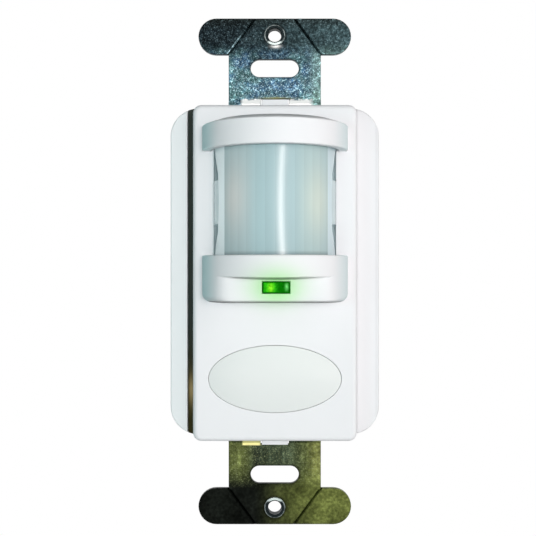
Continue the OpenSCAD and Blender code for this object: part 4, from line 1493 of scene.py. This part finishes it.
@dataclass
class Strap:
    """Metal strap with its ears, slots, grooves and tapped holes."""

    length: float = 103.7
    sheet: float = 1.3
    joggle: float = 0.6
    shank_w: float = 18.9
    ear_w: float = 31.3
    ear_h: float = 7.4
    slot_at: float = 41.65
    slot_len: float = 9.9
    slot_w: float = 3.6
    hole_at: float = 48.42
    hole_d: float = 2.8
    collar_d: float = 4.3
    collar_h: float = 1.2
    ring_h: float = 0.15
    ramp_from: float = 34.25
    ramp_to: float = 35.15
    rail_left: float = -17.7
    rail_right: float = 16.5
    plate_w: float = 42.6
    plate_h: float = 66.6
    plate_r: float = 5.7
    hook_slot: Point = (2.9, 33.3, 35.4)
    screw_d: float = 2.8
    groove: Span = (9.45, 4.0)
    groove_depth: float = 0.3
    edge_r: Point = (0.16, 0.14, 0.1)
    collar_lap: float = 0.2
    collar_soft: float = 0.12
    hook_gap: float = 0.02
    thread_over: float = 0.14
    thread_pitch: float = 0.79
    thread_depth: float = 2.0
    thread_from: float = 0.1
    skin: float = 0.2
    sharp: float = 28.0

    def end(self, side: Side) -> Loop:
        """Outline of one end, from its right to its left lower corner.

        Args:
            side: Which end.

        Returns:
            Points from right to left for the top, mirrored for the bottom.
        """
        up = side.value
        corner_x = self.plate_w / 2 - self.plate_r
        corner_z = self.plate_h / 2 - self.plate_r
        ear_z = (self.length - self.ear_h) / 2
        ear_x = (self.ear_w - self.ear_h) / 2

        def shoulder(edge: float) -> Loop:
            """Side from a rail's edge, over the middle plate's corner, to the ear.

            Args:
                edge: Place of the rail's edge.

            Returns:
                Points from the rail to the ear.
            """
            first = math.degrees(math.acos((abs(edge) - corner_x) / self.plate_r))
            return arc(corner_x, corner_z, self.plate_r, first, 90, 5) + [
                (self.shank_w / 2, self.plate_h / 2), (self.shank_w / 2, ear_z - self.ear_h / 2)]

        right, left = shoulder(self.rail_right), shoulder(self.rail_left)
        ear = arc(ear_x, ear_z, self.ear_h / 2, -90, 90, 16)
        points = right + ear + [(-x, z) for x, z in reversed(ear)] + [(-x, z) for x, z in reversed(left)]
        return points if up > 0 else [(x, -z) for x, z in reversed(points)]

    def build(self) -> None:
        """Make the strap."""
        holes = [box_loop(*OPENING)]
        for up in ENDS:
            holes.append(stadium(self.slot_len, self.slot_w, up * self.slot_at))
            seat_d = self.collar_d - self.collar_lap
            holes.append(oval(seat_d, seat_d, 0.0, up * self.hole_at, 40))
            half, *ends = self.hook_slot
            low, high = sorted(up * end for end in ends)
            holes.append(box_loop(-half, half, low + self.hook_gap, high))
        holes += [oval(self.screw_d, self.screw_d, x, z, 24) for x, z in SCREWS]
        draft = Draft()
        draft.plate(self.end(Side.TOP) + self.end(Side.BOTTOM), holes, -self.sheet, 0.0, *self.edge_r)
        strap = draft.build("mounting_strap", Finishes.strap, self.sharp)
        self.bend(strap.data)
        collars = Draft()
        for up in ENDS:
            bore, out, soft = self.hole_d / 2, self.collar_d / 2, self.collar_soft
            front, back = -self.sheet - self.ring_h, self.collar_h
            collars.lathe([(bore + soft, front), (out - soft, front), (out, front + soft), (out, back - soft),
                           (out - soft, back), (bore + soft, back), (bore, back - soft), (bore, front + soft)],
                          0.0, up * self.hole_at, 44)
        ring = collars.build("strap_collars", Finishes.collar, self.sharp)
        places = [(0.0, -self.sheet + self.thread_from, up * self.hole_at) for up in ENDS]
        turns = TappedHoles("strap_threads", self.hole_d + self.thread_over, self.thread_pitch,
                            self.thread_depth, places).build()
        for piece in (ring, turns):
            seat(piece, Body.BASE, "zinc_steel")
        seat(strap, Body.BASE, "zinc_steel", "mounting_strap")

    def bend(self, mesh: bpy.types.Mesh) -> None:
        """Press the middle forward and cut the grooves of the break-off ears.

        Args:
            mesh: The flat strap.
        """
        bm = bmesh.new()
        bm.from_mesh(mesh)
        inner = (self.length / 2 - self.ear_h) * MM
        for height in (self.ramp_from * MM, self.ramp_to * MM, inner):
            for up in ENDS:
                geometry = bm.verts[:] + bm.edges[:] + bm.faces[:]
                bmesh.ops.bisect_plane(bm, geom=geometry, dist=1e-8, plane_co=(0, 0, up * height), plane_no=(0, 0, 1))
        for up in ENDS:
            for sx in ENDS:
                self.score(bm, sx, up, inner)
        for vert in bm.verts:
            share = (self.ramp_to * MM - abs(vert.co.z)) / ((self.ramp_to - self.ramp_from) * MM)
            vert.co.y -= self.joggle * MM * min(1.0, max(0.0, share))
        bmesh.ops.recalc_face_normals(bm, faces=bm.faces)
        bm.to_mesh(mesh)
        bm.free()
        smooth(mesh, self.sharp)

    def score(self, bm: bmesh.types.BMesh, sx: int, up: int, inner: float) -> None:
        """Cut one V groove across an ear.

        Args:
            bm: The strap's mesh.
            sx: Side, 1 for right.
            up: End, 1 for top.
            inner: Height of the ear's inner edge in metres.
        """
        start = Vector((sx * self.groove[0] * MM, 0, up * inner))
        stop = Vector((sx * self.groove[1] * MM, 0, up * self.length / 2 * MM))
        along = (stop - start).normalized()
        normal = Vector((-along.z, 0, along.x))
        for shift in (-self.groove_depth * MM, 0.0, self.groove_depth * MM):
            faces = [f for f in bm.faces if up * f.calc_center_median().z > inner]
            edges = {e for f in faces for e in f.edges}
            verts = {v for f in faces for v in f.verts}
            bmesh.ops.bisect_plane(bm, geom=list(verts) + list(edges) + faces, dist=1e-7,
                                   plane_co=start + normal * shift, plane_no=normal)
        for vert in bm.verts:
            off = abs((vert.co - start).dot(normal))
            ahead = vert.co.y < -(self.sheet - self.skin) * MM
            if ahead and up * vert.co.z > inner - TOUCH and sx * vert.co.x > 0.0 and off < 2 * TOUCH:
                vert.co.y += self.groove_depth * MM


@dataclass
class FrontCover:
    """White front with its two visors, the light window and the snap hooks."""

    width: float = 32.6
    height: float = 66.8
    middle: float = -0.3
    corner_r: float = 1.7
    edge_r: float = 1.0
    face: float = -8.3
    inner: float = -6.3
    back: float = -1.9
    wall: float = 1.8
    window_half: float = 12.1
    room: Span = (0.55, 26.45)
    button_hole: Span = (26.4, 13.4)
    button_at: float = -21.3
    visor_r: float = 14.4
    visor_in_r: float = 12.6
    upper: Span = (23.75, 29.45)
    lower: Span = (-5.96, 3.15)
    lip_r: float = 0.3
    roof: Span = (2.6, 0.92)
    foot: Span = (2.0, 0.46)
    foot_r: float = 1.7
    under: Span = (1.2, 0.32)
    rim_soft: float = 0.22
    bury: float = 0.6
    facet: float = -18.66
    facet_half: float = 10.0
    facet_soft: float = 1.6
    crease: float = -1.32
    crease_bow: float = 140.0
    groove: Span = (0.2, 0.5)
    lamp: tuple[float, float, float, float] = (-2.55, 2.85, -4.17, -1.77)
    lamp_depth: float = 1.8
    hook: Span = (5.3, 33.55)
    hook_tips: Span = (34.85, 35.15)
    hook_lap: float = 1.0
    hook_step: float = 0.1
    hook_soft: float = 0.12
    tab_y: Span = (-3.6, -2.0)
    arm_y: Span = (-3.0, 1.1)
    barb_y: Span = (0.1, 1.0)
    barb_reach: float = 0.7
    boss_r: Span = (1.15, 2.5)
    boss_end: float = -5.4
    boss_root: float = 0.6
    hole_r: float = 0.08
    turn_step: float = 3.0
    mark_gap: float = 0.8
    foot_turn: Span = (40.0, 80.0)
    groove_soft: float = 0.4
    under_soft: float = 3.0
    under_edge: float = 0.05

    def build(self) -> None:
        """Make the cover."""
        draft = Draft()
        hole = oval(*self.button_hole, 0.0, self.button_at, 120)
        window = box_loop(-self.window_half, self.window_half, *self.room)

        def outline(step: float) -> Loop:
            """Outside of the cover, moved inwards."""
            return rounded(self.width - 2 * step, self.height - 2 * step, max(0.05, self.corner_r - step), self.middle)

        cavity = box_loop(self.wall - self.width / 2, self.width / 2 - self.wall,
                          self.middle + self.wall - self.height / 2, self.middle + self.height / 2 - self.wall)
        draft.tray(outline, cavity, [window, hole], self.face, self.inner, self.back, self.edge_r, self.hole_r)
        self.add_hooks(draft)
        self.add_bosses(draft)
        for piece in (draft.build("front_cover", Finishes.cover), self.upper_visor(), self.lower_visor()):
            seat(piece, Body.BASE, "white_plastic", "front_cover")

    def add_hooks(self, draft: Draft) -> None:
        """Add the snap hooks at both ends: a tab over the strap, an arm and a barb.

        Args:
            draft: Draft of the cover.
        """
        width, near = self.hook
        half, less = width / 2, self.hook_step
        for up, tip in zip(ENDS, self.hook_tips):
            edge = up * self.middle + self.height / 2 - self.hook_lap
            for side, ys, start, stop in ((half, self.tab_y, edge, tip),
                                          (half - less, self.arm_y, near, tip - less),
                                          (half - 2 * less, self.barb_y, near + less, tip + self.barb_reach)):
                draft.block(-side, side, *ys, *sorted((up * start, up * stop)), self.hook_soft)

    def add_bosses(self, draft: Draft) -> None:
        """Add the screw bosses inside.

        Args:
            draft: Draft of the cover.
        """
        bore, out = self.boss_r
        root = self.inner - self.boss_root
        for x, z in SCREWS:
            draft.lathe([(bore, self.boss_end), (bore, self.back), (out, self.back), (out, root),
                         (AXIS_R, root), (AXIS_R, self.boss_end)], x, z, 28)

    def half_turn(self) -> list[float]:
        """Angles from left to right in even steps."""
        return [-90 + self.turn_step * i for i in range(int(180 / self.turn_step) + 1)]

    def stations(self, angles: Sequence[float]) -> list[tuple[float, float, Callable[[float], float]]]:
        """Places around the visors' line, with an end buried in the face on each side.

        Args:
            angles: Angles in degrees, 0 in front.

        Returns:
            For each place its angle, its sine and a rule that gives Y for a radius.
        """
        left, right = ((a, heading(a)[0], lambda radius: self.face + self.bury) for a in (-90.0, 90.0))
        around = [(a, heading(a)[0], lambda radius, c=heading(a)[1]: self.face - radius * c) for a in angles]
        return [left, *around, right]

    def turned(self, profile: Loop, angles: list[float]) -> Draft:
        """Turn a profile halfway round the visors' line and bury its ends in the face.

        Args:
            profile: Open list of radius and height; it starts and ends on the line.
            angles: Angles in degrees, 0 in front.

        Returns:
            A draft that holds the visor.
        """
        draft = Draft()
        columns = [draft.add([(r * s, depth(r), z) for r, z in profile]) for _, s, depth in self.stations(angles)]
        draft.stack(columns, closed=False)
        for end in (columns[0], columns[-1]):
            draft.cap(end)
        return draft

    def lip(self, edge: float, way: int) -> Loop:
        """Rim of a visor next to the lens, from its inner to its outer side.

        Args:
            edge: Height of the rim.
            way: 1 where the visor stands above the rim.

        Returns:
            Radius and height along the rim.
        """
        small = self.lip_r / 2
        inside = [(self.visor_in_r + small * (1 - math.cos(t)), edge + way * small * (1 - math.sin(t)))
                  for t in [math.radians(30 * i) for i in range(4)]]
        outside = [(self.visor_r - self.lip_r * (1 - math.cos(t)), edge + way * self.lip_r * (1 - math.sin(t)))
                   for t in [math.radians(90 - 22.5 * i) for i in range(5)]]
        return inside + outside

    def slant(self, size: Span) -> Loop:
        """Slanted rim from a visor's wall to its end, with a soft start.

        Args:
            size: Run inwards and rise along the wall.

        Returns:
            Nine pairs of distance from the wall and distance from the end.
        """
        run, rise = size
        soft = self.rim_soft / math.hypot(run, rise)
        rows = []
        for t in (0.0, 0.25, 0.5, 0.75, 1.0):
            rows.append((run * soft * t * t, rise + self.rim_soft * (1 - t) ** 2 - rise * soft * t * t))
        return rows + [(run * s, rise * (1 - s)) for s in (0.4, 0.6, 0.8, 1.0)]

    def upper_visor(self) -> bpy.types.Object:
        """Make the visor above the lens.

        Returns:
            The visor.
        """
        low, top = self.upper
        crown = [(self.visor_r - aside, top - below) for aside, below in self.slant(self.roof)]
        profile = ([(0.0, self.room[1]), (self.visor_in_r, self.room[1])] + self.lip(low, 1)
                   + [(self.visor_r, low + self.lip_r + SUPPORT), (self.visor_r, crown[0][1] - SUPPORT)]
                   + crown + [(self.visor_r - self.roof[0] - SUPPORT, top), (0.0, top)])
        return self.turned(profile, self.half_turn()).build("upper_visor", Finishes.cover)

    def crease_at(self, x: float) -> float:
        """Height of the crease above the flat front."""
        return self.crease + self.crease_bow - math.sqrt(self.crease_bow ** 2 - min(x * x, self.visor_r ** 2))

    def soft_max(self, first: float, second: float) -> float:
        """Larger of two Y values, with a soft passage where they are close."""
        close = max(self.facet_soft - abs(first - second), 0.0) / self.facet_soft
        return max(first, second) + close * close * self.facet_soft / 4

    def lower_visor(self) -> bpy.types.Object:
        """Make the visor below the lens, planed flat below the crease.

        Returns:
            The visor with the window for the lamp.
        """
        foot, top = self.lower
        x0, x1, z0, z1 = self.lamp
        marks = [math.degrees(math.asin(x / self.visor_r)) for x in (x0, x1, -self.facet_half, self.facet_half)]
        angles = sorted({round(a, 4) for a in self.half_turn() + marks})
        angles = [a for a in angles if a in {round(m, 4) for m in marks}
                  or min(abs(a - m) for m in marks) > self.mark_gap]
        bend = [math.radians(90 * i / 8) for i in range(9)]
        rim_rows = [(0.0, self.room[0]), (self.visor_in_r, self.room[0])] + self.lip(top, -1)
        draft = Draft()
        columns: list[list[int]] = []
        for a, s, depth in self.stations(angles):
            crease = self.crease_at(self.visor_r * s)
            share = min(1.0, max(0.0, (abs(a) - self.foot_turn[0]) / (self.foot_turn[1] - self.foot_turn[0])))
            share = share * share * (3 - 2 * share)
            foot_rows = []
            for t, (aside, above) in zip(bend, self.slant(self.foot)):
                aside += share * (self.foot_r * (1 - math.cos(t)) - aside)
                above += share * (self.foot_r * (1 - math.sin(t)) - above)
                foot_rows.append((self.visor_r - aside, foot + above))
            front = depth(self.visor_r)
            flat = self.soft_max(front, self.facet)
            wide, deep = (size * min(1.0, (flat - front) / self.groove_soft) for size in self.groove)
            run, rise = (size * min(1.0, (flat - front) / self.under_soft) for size in self.under)
            wall = [(self.visor_r, top - self.lip_r - SUPPORT), (self.visor_r, crease + rise + self.under_edge),
                    (self.visor_r, crease + rise), (self.visor_r - run, crease)]
            points: list[Point] = [(r * s, depth(r), z) for r, z in rim_rows + wall]
            points += [(self.visor_r * s, y, z) for y, z in ((flat + deep, crease), (flat + deep, crease - wide),
                                                             (flat, crease - wide), (flat, z1), (flat, z0))]
            points += [(r * s, self.soft_max(depth(r), self.facet + self.visor_r - r), z) for r, z in foot_rows]
            columns.append(draft.add(points))
        first = len(rim_rows) + 7
        for left, right in zip(columns, columns[1:]):
            for k in range(len(left) - 1):
                xs = [draft.points[i][0] for i in (left[k], right[k])]
                if not (k == first and min(xs) > x0 - 0.01 and max(xs) < x1 + 0.01):
                    draft.faces.append((left[k], left[k + 1], right[k + 1], right[k]))
        draft.cap([column[-1] for column in columns])
        front = draft.ring(box_loop(*self.lamp), self.facet)
        deep = draft.ring(box_loop(*self.lamp), self.facet + self.lamp_depth)
        draft.skin(front, deep)
        draft.cap(deep)
        draft.faces.append(tuple(columns[0] + columns[-1][:0:-1]))
        return draft.build("lower_visor", Finishes.cover, 30.0)


@dataclass
class SensorLens:
    """Half-round lens with upright sectors and relief cuts in its sides."""

    radius: float = 12.0
    wall: float = 0.8
    axis_y: float = -8.3
    back: float = -5.3
    low: float = 0.55
    top: float = 26.35
    flange_w: float = 1.3
    flange_t: float = 1.0
    sector: float = 9.0
    half: float = 54.0
    middle: float = 13.45
    window_h: float = 20.6
    tab_half: float = 4.223
    relief: Point = (4.7, 1.4, 2.4)
    relief_over: float = 0.5
    side_step: float = 3.0
    sharp: float = 20.0

    def build(self) -> None:
        """Make the lens."""
        count = int((90 - self.half) / self.side_step)
        side = [self.half + self.side_step * i for i in range(1, count + 1)]
        angles = [-a for a in reversed(side)]
        angles += [-self.half + self.sector * i for i in range(int(2 * self.half / self.sector) + 1)] + side

        def row(radius: float) -> Loop:
            """Points of the half round as across and along Y."""
            return [(radius * s, self.axis_y - radius * c) for s, c in map(heading, angles)]

        wide = self.radius + self.flange_w
        front = self.back - self.flange_t
        foot = [(self.radius, front), (wide, front), (wide, self.back), (self.radius - self.wall, self.back)]
        section = row(self.radius) + foot
        section += list(reversed(row(self.radius - self.wall))) + [(-x, y) for x, y in reversed(foot)]
        draft = Draft()
        low = draft.add([(x, y, self.low) for x, y in section])
        high = draft.add([(x, y, self.top) for x, y in section])
        draft.skin(low, high)
        draft.faces.append(tuple(low))
        draft.faces.append(tuple(reversed(high)))
        lens = draft.build("fresnel_lens", Finishes.lens, self.sharp)
        self.cut(lens)
        seat(lens, Body.BASE, "lens_plastic", "fresnel_lens")

    def cut(self, lens: bpy.types.Object) -> None:
        """Cut the slanted reliefs above and below the middle tab.

        Args:
            lens: The lens.
        """
        depth, flat, tip = self.relief
        draft = Draft()
        for up in ENDS:
            rear = self.axis_y - self.back - self.relief_over
            profile = [(rear, self.tab_half), (depth, self.tab_half), (depth, self.tab_half + flat),
                       (tip, self.window_h / 2), (rear, self.window_h / 2)]
            ends = [draft.add([(x, self.axis_y - p, self.middle + up * z) for p, z in profile])
                    for x in (-2 * self.radius, 2 * self.radius)]
            draft.skin(ends[0], ends[1])
            draft.cap(ends[0])
            draft.cap(ends[1])
        cutter = draft.build("lens_cutter", Finishes.lens)
        modifier = lens.modifiers.new("reliefs", "BOOLEAN")
        modifier.operation = "DIFFERENCE"
        modifier.solver = "EXACT"
        modifier.object = cutter
        settle(lens)
        bpy.data.objects.remove(cutter)
        smooth(lens.data, self.sharp)


@dataclass
class PushButton:
    """Oval button with a soft crown, a flange, a stem and two guide pins."""

    width: float = 26.22
    height: float = 13.22
    at: float = -21.3
    face: float = -8.3
    crown: float = 0.9
    reach: float = 6.4
    edge_r: float = 0.1
    flange_over: float = 0.9
    flange: Span = (-6.2, -5.2)
    stem: Span = (4.0, -4.2)
    guide: Point = (2.0, 8.45, -0.6)
    crown_steps: int = 14
    sharp: float = 40.0

    def build(self) -> None:
        """Make the button."""
        steps = [i / self.crown_steps for i in range(1, self.crown_steps + 1)]
        rows = [(self.reach * (1 - s), self.face - self.crown * (1 - s * s)) for s in steps]
        rows += [(self.edge_r * (1 - math.cos(t)), self.face + self.edge_r * (1 - math.sin(t)))
                 for t in [math.radians(75 - 15 * i) for i in range(6)]]
        rows += [(0.0, self.flange[0]), (-self.flange_over, self.flange[0]), (-self.flange_over, self.flange[1])]
        draft = Draft()
        rings = [draft.ring(oval(self.width - 2 * i, self.height - 2 * i, 0.0, self.at, 120), y) for i, y in rows]
        draft.stack(rings)
        draft.cap(rings[0])
        draft.cap(rings[-1])
        pin, aside, pin_end = self.guide
        root = self.flange[0]
        for d, x, end in ((self.stem[0], 0.0, self.stem[1]), (pin, aside, pin_end), (pin, -aside, pin_end)):
            draft.lathe([(AXIS_R, root), (d / 2, root), (d / 2, end), (AXIS_R, end)], x, self.at, 28)
        button = draft.build("push_button", Finishes.button, self.sharp)
        seat(button, Body.BUTTON, "button_plastic", "push_button")


@dataclass
class Housing:
    """Mid frame with its wings and the tub behind it."""

    width: float = 42.6
    height: float = 66.6
    radius: float = 5.7
    wing_front: float = -1.9
    deck: Span = (-0.6, 1.4)
    rear: float = 20.1
    floor: float = 18.3
    wall: float = 1.8
    draft: float = 0.3
    rear_r: float = 1.2
    left_wing: float = -17.8
    right_wing: float = 16.6
    pass_d: float = 2.8
    sink_d: float = 4.5
    seat_y: float = 3.9
    pillar_d: float = 6.5
    wire_d: float = 4.0
    wire_pitch: float = 5.6
    wire_z: float = 28.5
    deck_r: Point = (0.1, 0.0, 0.15)
    wing_r: float = 0.35
    wing_root: float = 1.0
    sink_r: float = 0.2
    rib_x: float = 18.5
    rib_half: Span = (0.6, 17.0)
    rib_y: Span = (0.4, 2.9)

    def wing(self, edge: float) -> Loop:
        """Outline of the wing beyond an edge.

        Args:
            edge: Place of its inner edge; below zero for the left wing.

        Returns:
            Counter-clockwise outline.
        """
        x, z = self.width / 2 - self.radius, self.height / 2 - self.radius
        first = math.degrees(math.acos((abs(edge) - x) / self.radius))
        upper = arc(x, z, self.radius, 0, first, 10)
        right = [(px, -pz) for px, pz in reversed(upper)] + upper
        return right if edge > 0 else [(-px, pz) for px, pz in reversed(right)]

    def build(self) -> None:
        """Make the mid frame and the tub."""
        frame = Draft()
        holes = [box_loop(*OPENING)] + [oval(self.pass_d, self.pass_d, x, z, 24) for x, z in SCREWS]
        frame.plate(rounded(self.width, self.height, self.radius), holes, *self.deck, *self.deck_r)
        for edge in (self.left_wing, self.right_wing):
            frame.plate(self.wing(edge), [], self.wing_front, self.deck[0] + self.wing_root, self.wing_r)
        for sx in ENDS:
            x, (wide, high) = sx * self.rib_x, self.rib_half
            frame.block(x - wide, x + wide, *self.rib_y, -high, high)
        seat(frame.build("mid_frame", Finishes.wing), Body.BASE, "wing_plastic", "mid_frame")
        tub = Draft()

        def outline(step: float) -> Loop:
            """Outside of the tub, moved inwards."""
            return rounded(self.width - 2 * step, self.height - 2 * step, self.radius - step)

        inner = self.wall + self.draft
        cavity = rounded(self.width - 2 * inner, self.height - 2 * inner, self.radius - self.wall)
        wires = [oval(self.wire_d, self.wire_d, i * self.wire_pitch, self.wire_z, 32) for i in (-1, 0, 1)]
        sinks = [oval(self.sink_d, self.sink_d, x, z, 32) for x, z in SCREWS]
        tub.tray(outline, cavity, wires + sinks, self.rear, self.floor, self.deck[1],
                 self.rear_r, self.sink_r, self.draft)
        for x, z in SCREWS:
            bore, out, hole = self.sink_d / 2, self.pillar_d / 2, self.pass_d / 2
            tub.lathe([(bore, self.floor), (out, self.floor), (out, self.deck[1]), (hole, self.deck[1]),
                       (hole, self.seat_y), (bore, self.seat_y)], x, z, 32)
        seat(tub.build("rear_housing", Finishes.wing), Body.BASE, "wing_plastic", "rear_housing")


@dataclass
class StatusLight:
    """Green light pipe behind the window in the lower visor."""

    x: float = 0.15
    z: float = -2.97
    width: float = 5.2
    height: float = 2.2
    front: float = -18.46
    back: float = -3.1
    flange: tuple[float, float, float, float] = (7.4, 1.0, -16.86, 3.2)
    flange_z: float = -2.75
    corner_r: float = 0.25
    edge_r: float = 0.2
    flange_r: float = 0.1

    def build(self) -> None:
        """Make the light pipe."""
        draft = Draft()
        outer = [(self.x + px, self.z + pz) for px, pz in rounded(self.width, self.height, self.corner_r)]
        draft.plate(outer, [], self.front, self.back, self.edge_r)
        width, thick, front, height = self.flange
        draft.block(self.x - width / 2, self.x + width / 2, front, front + thick,
                    self.flange_z - height / 2, self.flange_z + height / 2, self.flange_r)
        seat(draft.build("light_pipe", Finishes.lamp), Body.BASE, "light_pipe", "light_pipe")


@dataclass
class InnerParts:
    """Parts inside the closed switch, which keep their CAD shapes."""

    nodes: dict[str, bpy.types.Object]
    finish_of: dict[str, Finish] = field(default_factory=lambda: {
        "lens_retainer": Finishes.shade, "tact_plunger": Finishes.black, "tact_switch": Finishes.steel,
        "status_led": Finishes.ceramic, "sensor_board": Finishes.board, "pir_spacer": Finishes.button,
        "pir_can": Finishes.steel, "pir_filter": Finishes.dark_glass, "pir_leads": Finishes.brass,
        "microcontroller": Finishes.black, "power_board": Finishes.board, "relay": Finishes.black,
        "film_capacitor": Finishes.film, "bulk_capacitor": Finishes.sleeve, "surge_varistor": Finishes.blue,
        "bridge_rectifier": Finishes.black, "fusible_resistor": Finishes.resistor, "link_header": Finishes.black,
        "link_pins": Finishes.brass})

    def dress(self) -> None:
        """Give each kept CAD node its material."""
        for name, finish in self.finish_of.items():
            node = self.nodes[name]
            if node.material_slots:
                node.material_slots[0].material = finish.material()
            else:
                node.data.materials.append(finish.material())
            LOG.info("%s: CAD shape with %s", name, finish.name)


@dataclass
class Fasteners:
    """Screws of the housing and of the two boards."""

    seat_y: float = 3.9
    board_x: float = 10.3
    board_z: float = -10.37
    board_y: float = 0.1
    tub_x: float = 16.1
    tub_z: Span = (23.25, -22.65)
    tub_y: float = 14.6
    housing_size: tuple[float, ...] = (4.0, 1.6, 2.2, 9.0, 0.8, 0.7)
    board_size: tuple[float, ...] = (3.6, 1.2, 1.9, 3.6, 0.6, 0.5)

    def build(self) -> None:
        """Make the screws."""
        housing = ScrewSet("housing_screws", *self.housing_size,
                           [(x, self.seat_y, z) for x, z in SCREWS]).build()
        sensor = ScrewSet("sensor_board_screws", *self.board_size,
                          [(sx * self.board_x, self.board_y, self.board_z) for sx in ENDS]).build()
        power = ScrewSet("power_board_screws", *self.board_size,
                         [(sx * self.tub_x, self.tub_y, z) for sx in ENDS for z in self.tub_z], False).build()
        seat(housing, Body.BASE, "screw_steel", "housing_screws")
        for piece in (sensor, power):
            seat(piece, Body.BASE, "screw_steel", "board_screws")


# Studio


@dataclass
class Lamp:
    """A soft lamp aimed at the switch."""

    name: str
    place: Point
    width: float
    height: float
    watts: float
    colour: Point = (1.0, 1.0, 1.0)
    target: Point = (0.0, -10.0, 0.0)
    mirrored: bool = False

    def build(self) -> None:
        """Make the lamp."""
        data = bpy.data.lights.new(self.name, "AREA")
        data.shape = "RECTANGLE"
        data.size = self.width * MM
        data.size_y = self.height * MM
        data.energy = self.watts
        data.color = self.colour
        made = show(self.name, data)
        made.visible_camera = False
        made.visible_glossy = self.mirrored
        made.location = Vector(self.place) * MM
        made.rotation_euler = (Vector(self.target) - Vector(self.place)).to_track_quat("-Z", "Y").to_euler()


@dataclass
class Studio:
    """Camera, lamps, surroundings and floor."""

    eye: Point = (-1.386, -208.3, 0.69)
    focal_px: float = 1010.0
    sensor: float = 36.0
    floor_z: float = -125.0
    floor_x: float = 420.0
    floor_y: Span = (-460.0, 225.0)
    left: Colour = (0.0, 0.11, 0.12, 1.0)
    right: Colour = (0.6, 0.61, 0.61, 1.0)
    ahead: float = 0.2
    ahead_focus: float = 3.0
    level_off: float = 0.97
    level_focus: float = 2.6
    rear: Point = (0.0, 10.0, 0.0)
    rear_tone: Point = (1.0, 0.97, 0.96)
    lens: Point = (1.0, -20.0, 13.0)
    strip_tone: Point = (1.0, 0.89, 0.87)

    def build(self) -> None:
        """Set up everything around the switch."""
        scene = bpy.context.scene
        scene.view_settings.view_transform = "Standard"
        data = bpy.data.cameras.new("photo_camera")
        data.sensor_width = self.sensor
        data.lens = self.focal_px * self.sensor / PHOTO_SIDE
        data.clip_start = 0.01
        camera = show("photo_camera", data)
        camera.location = Vector(self.eye) * MM
        camera.rotation_euler = (math.pi / 2, 0.0, 0.0)
        scene.camera = camera
        self.surroundings()
        self.floor()
        for lamp in (Lamp("front", (26.0, -430.0, 4.0), 40.0, 40.0, 0.385),
                     Lamp("fill", (-170.0, -300.0, 6.0), 120.0, 60.0, 0.155, (0.72, 1.0, 1.0)),
                     Lamp("side", (300.0, -120.0, 4.0), 120.0, 60.0, 0.11, (0.98, 1.0, 1.0)),
                     Lamp("back", (-190.0, 380.0, 160.0), 200.0, 160.0, 0.62, self.rear_tone, self.rear),
                     Lamp("back_right", (190.0, 380.0, 160.0), 200.0, 160.0, 0.3, self.rear_tone, self.rear),
                     Lamp("key", (85.0, -160.0, 50.0), 100.0, 160.0, 0.05),
                     Lamp("strip", (146.0, -604.0, 52.0), 20.0, 150.0, 0.5, self.strip_tone, self.lens, True),
                     Lamp("strip_low", (144.0, -604.0, 28.0), 40.0, 76.0, 0.26, self.strip_tone, self.lens, True)):
            lamp.build()

    def surroundings(self) -> None:
        """White to the eye and in reflections, darker on the left for soft light."""
        world = bpy.data.worlds.new("studio")
        bpy.context.scene.world = world
        world.use_nodes = True
        world.node_tree.nodes.clear()
        graph = Graph(world.node_tree)
        x, y, z = graph.split(graph.nodes.new("ShaderNodeTexCoord").outputs["Generated"])
        side = graph.mix(graph.line(x, 0.5, 0.5), self.left, self.right)
        front = graph.math("POWER", graph.math("MULTIPLY", y, -1.0, clamp=True), self.ahead_focus)
        front = graph.times(front, self.ahead)
        sky = graph.mix(1.0, side, graph.shade((1.0, 1.0, 1.0), front), "ADD")
        level = graph.math("POWER", graph.line(graph.times(z, z), -self.level_off, 1.0), self.level_focus)
        soft = graph.nodes.new("ShaderNodeBackground")
        graph.feed(soft.inputs["Color"], graph.shade(sky, level))
        white = graph.nodes.new("ShaderNodeBackground")
        white.inputs["Color"].default_value = (1.0, 1.0, 1.0, 1.0)
        pick = graph.nodes.new("ShaderNodeMixShader")
        for socket, value in zip(pick.inputs, (graph.seen(), soft.outputs[0], white.outputs[0])):
            graph.feed(socket, value)
        graph.feed(graph.nodes.new("ShaderNodeOutputWorld").inputs["Surface"], pick.outputs[0])

    def floor(self) -> None:
        """Pale floor below the switch, clear of the photograph's frame."""
        draft = Draft()
        x, (near, far) = self.floor_x, self.floor_y
        draft.faces.append(tuple(draft.add([(-x, near, self.floor_z), (x, near, self.floor_z),
                                            (x, far, self.floor_z), (-x, far, self.floor_z)])))
        floor = draft.build("studio_floor", FloorPaint("floor_pale", tone(208, 208, 208), 0.8, 4.0, 0.02))


def main() -> None:
    """Build the switch in order and set up the studio."""
    logging.basicConfig(level=logging.INFO, format="%(name)s %(message)s")
    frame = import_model()
    Strap().build()
    Housing().build()
    FrontCover().build()
    SensorLens().build()
    StatusLight().build()
    PushButton().build()
    Fasteners().build()
    InnerParts(frame["nodes"]).dress()
    Studio().build()


if __name__ == "__main__":
    main()
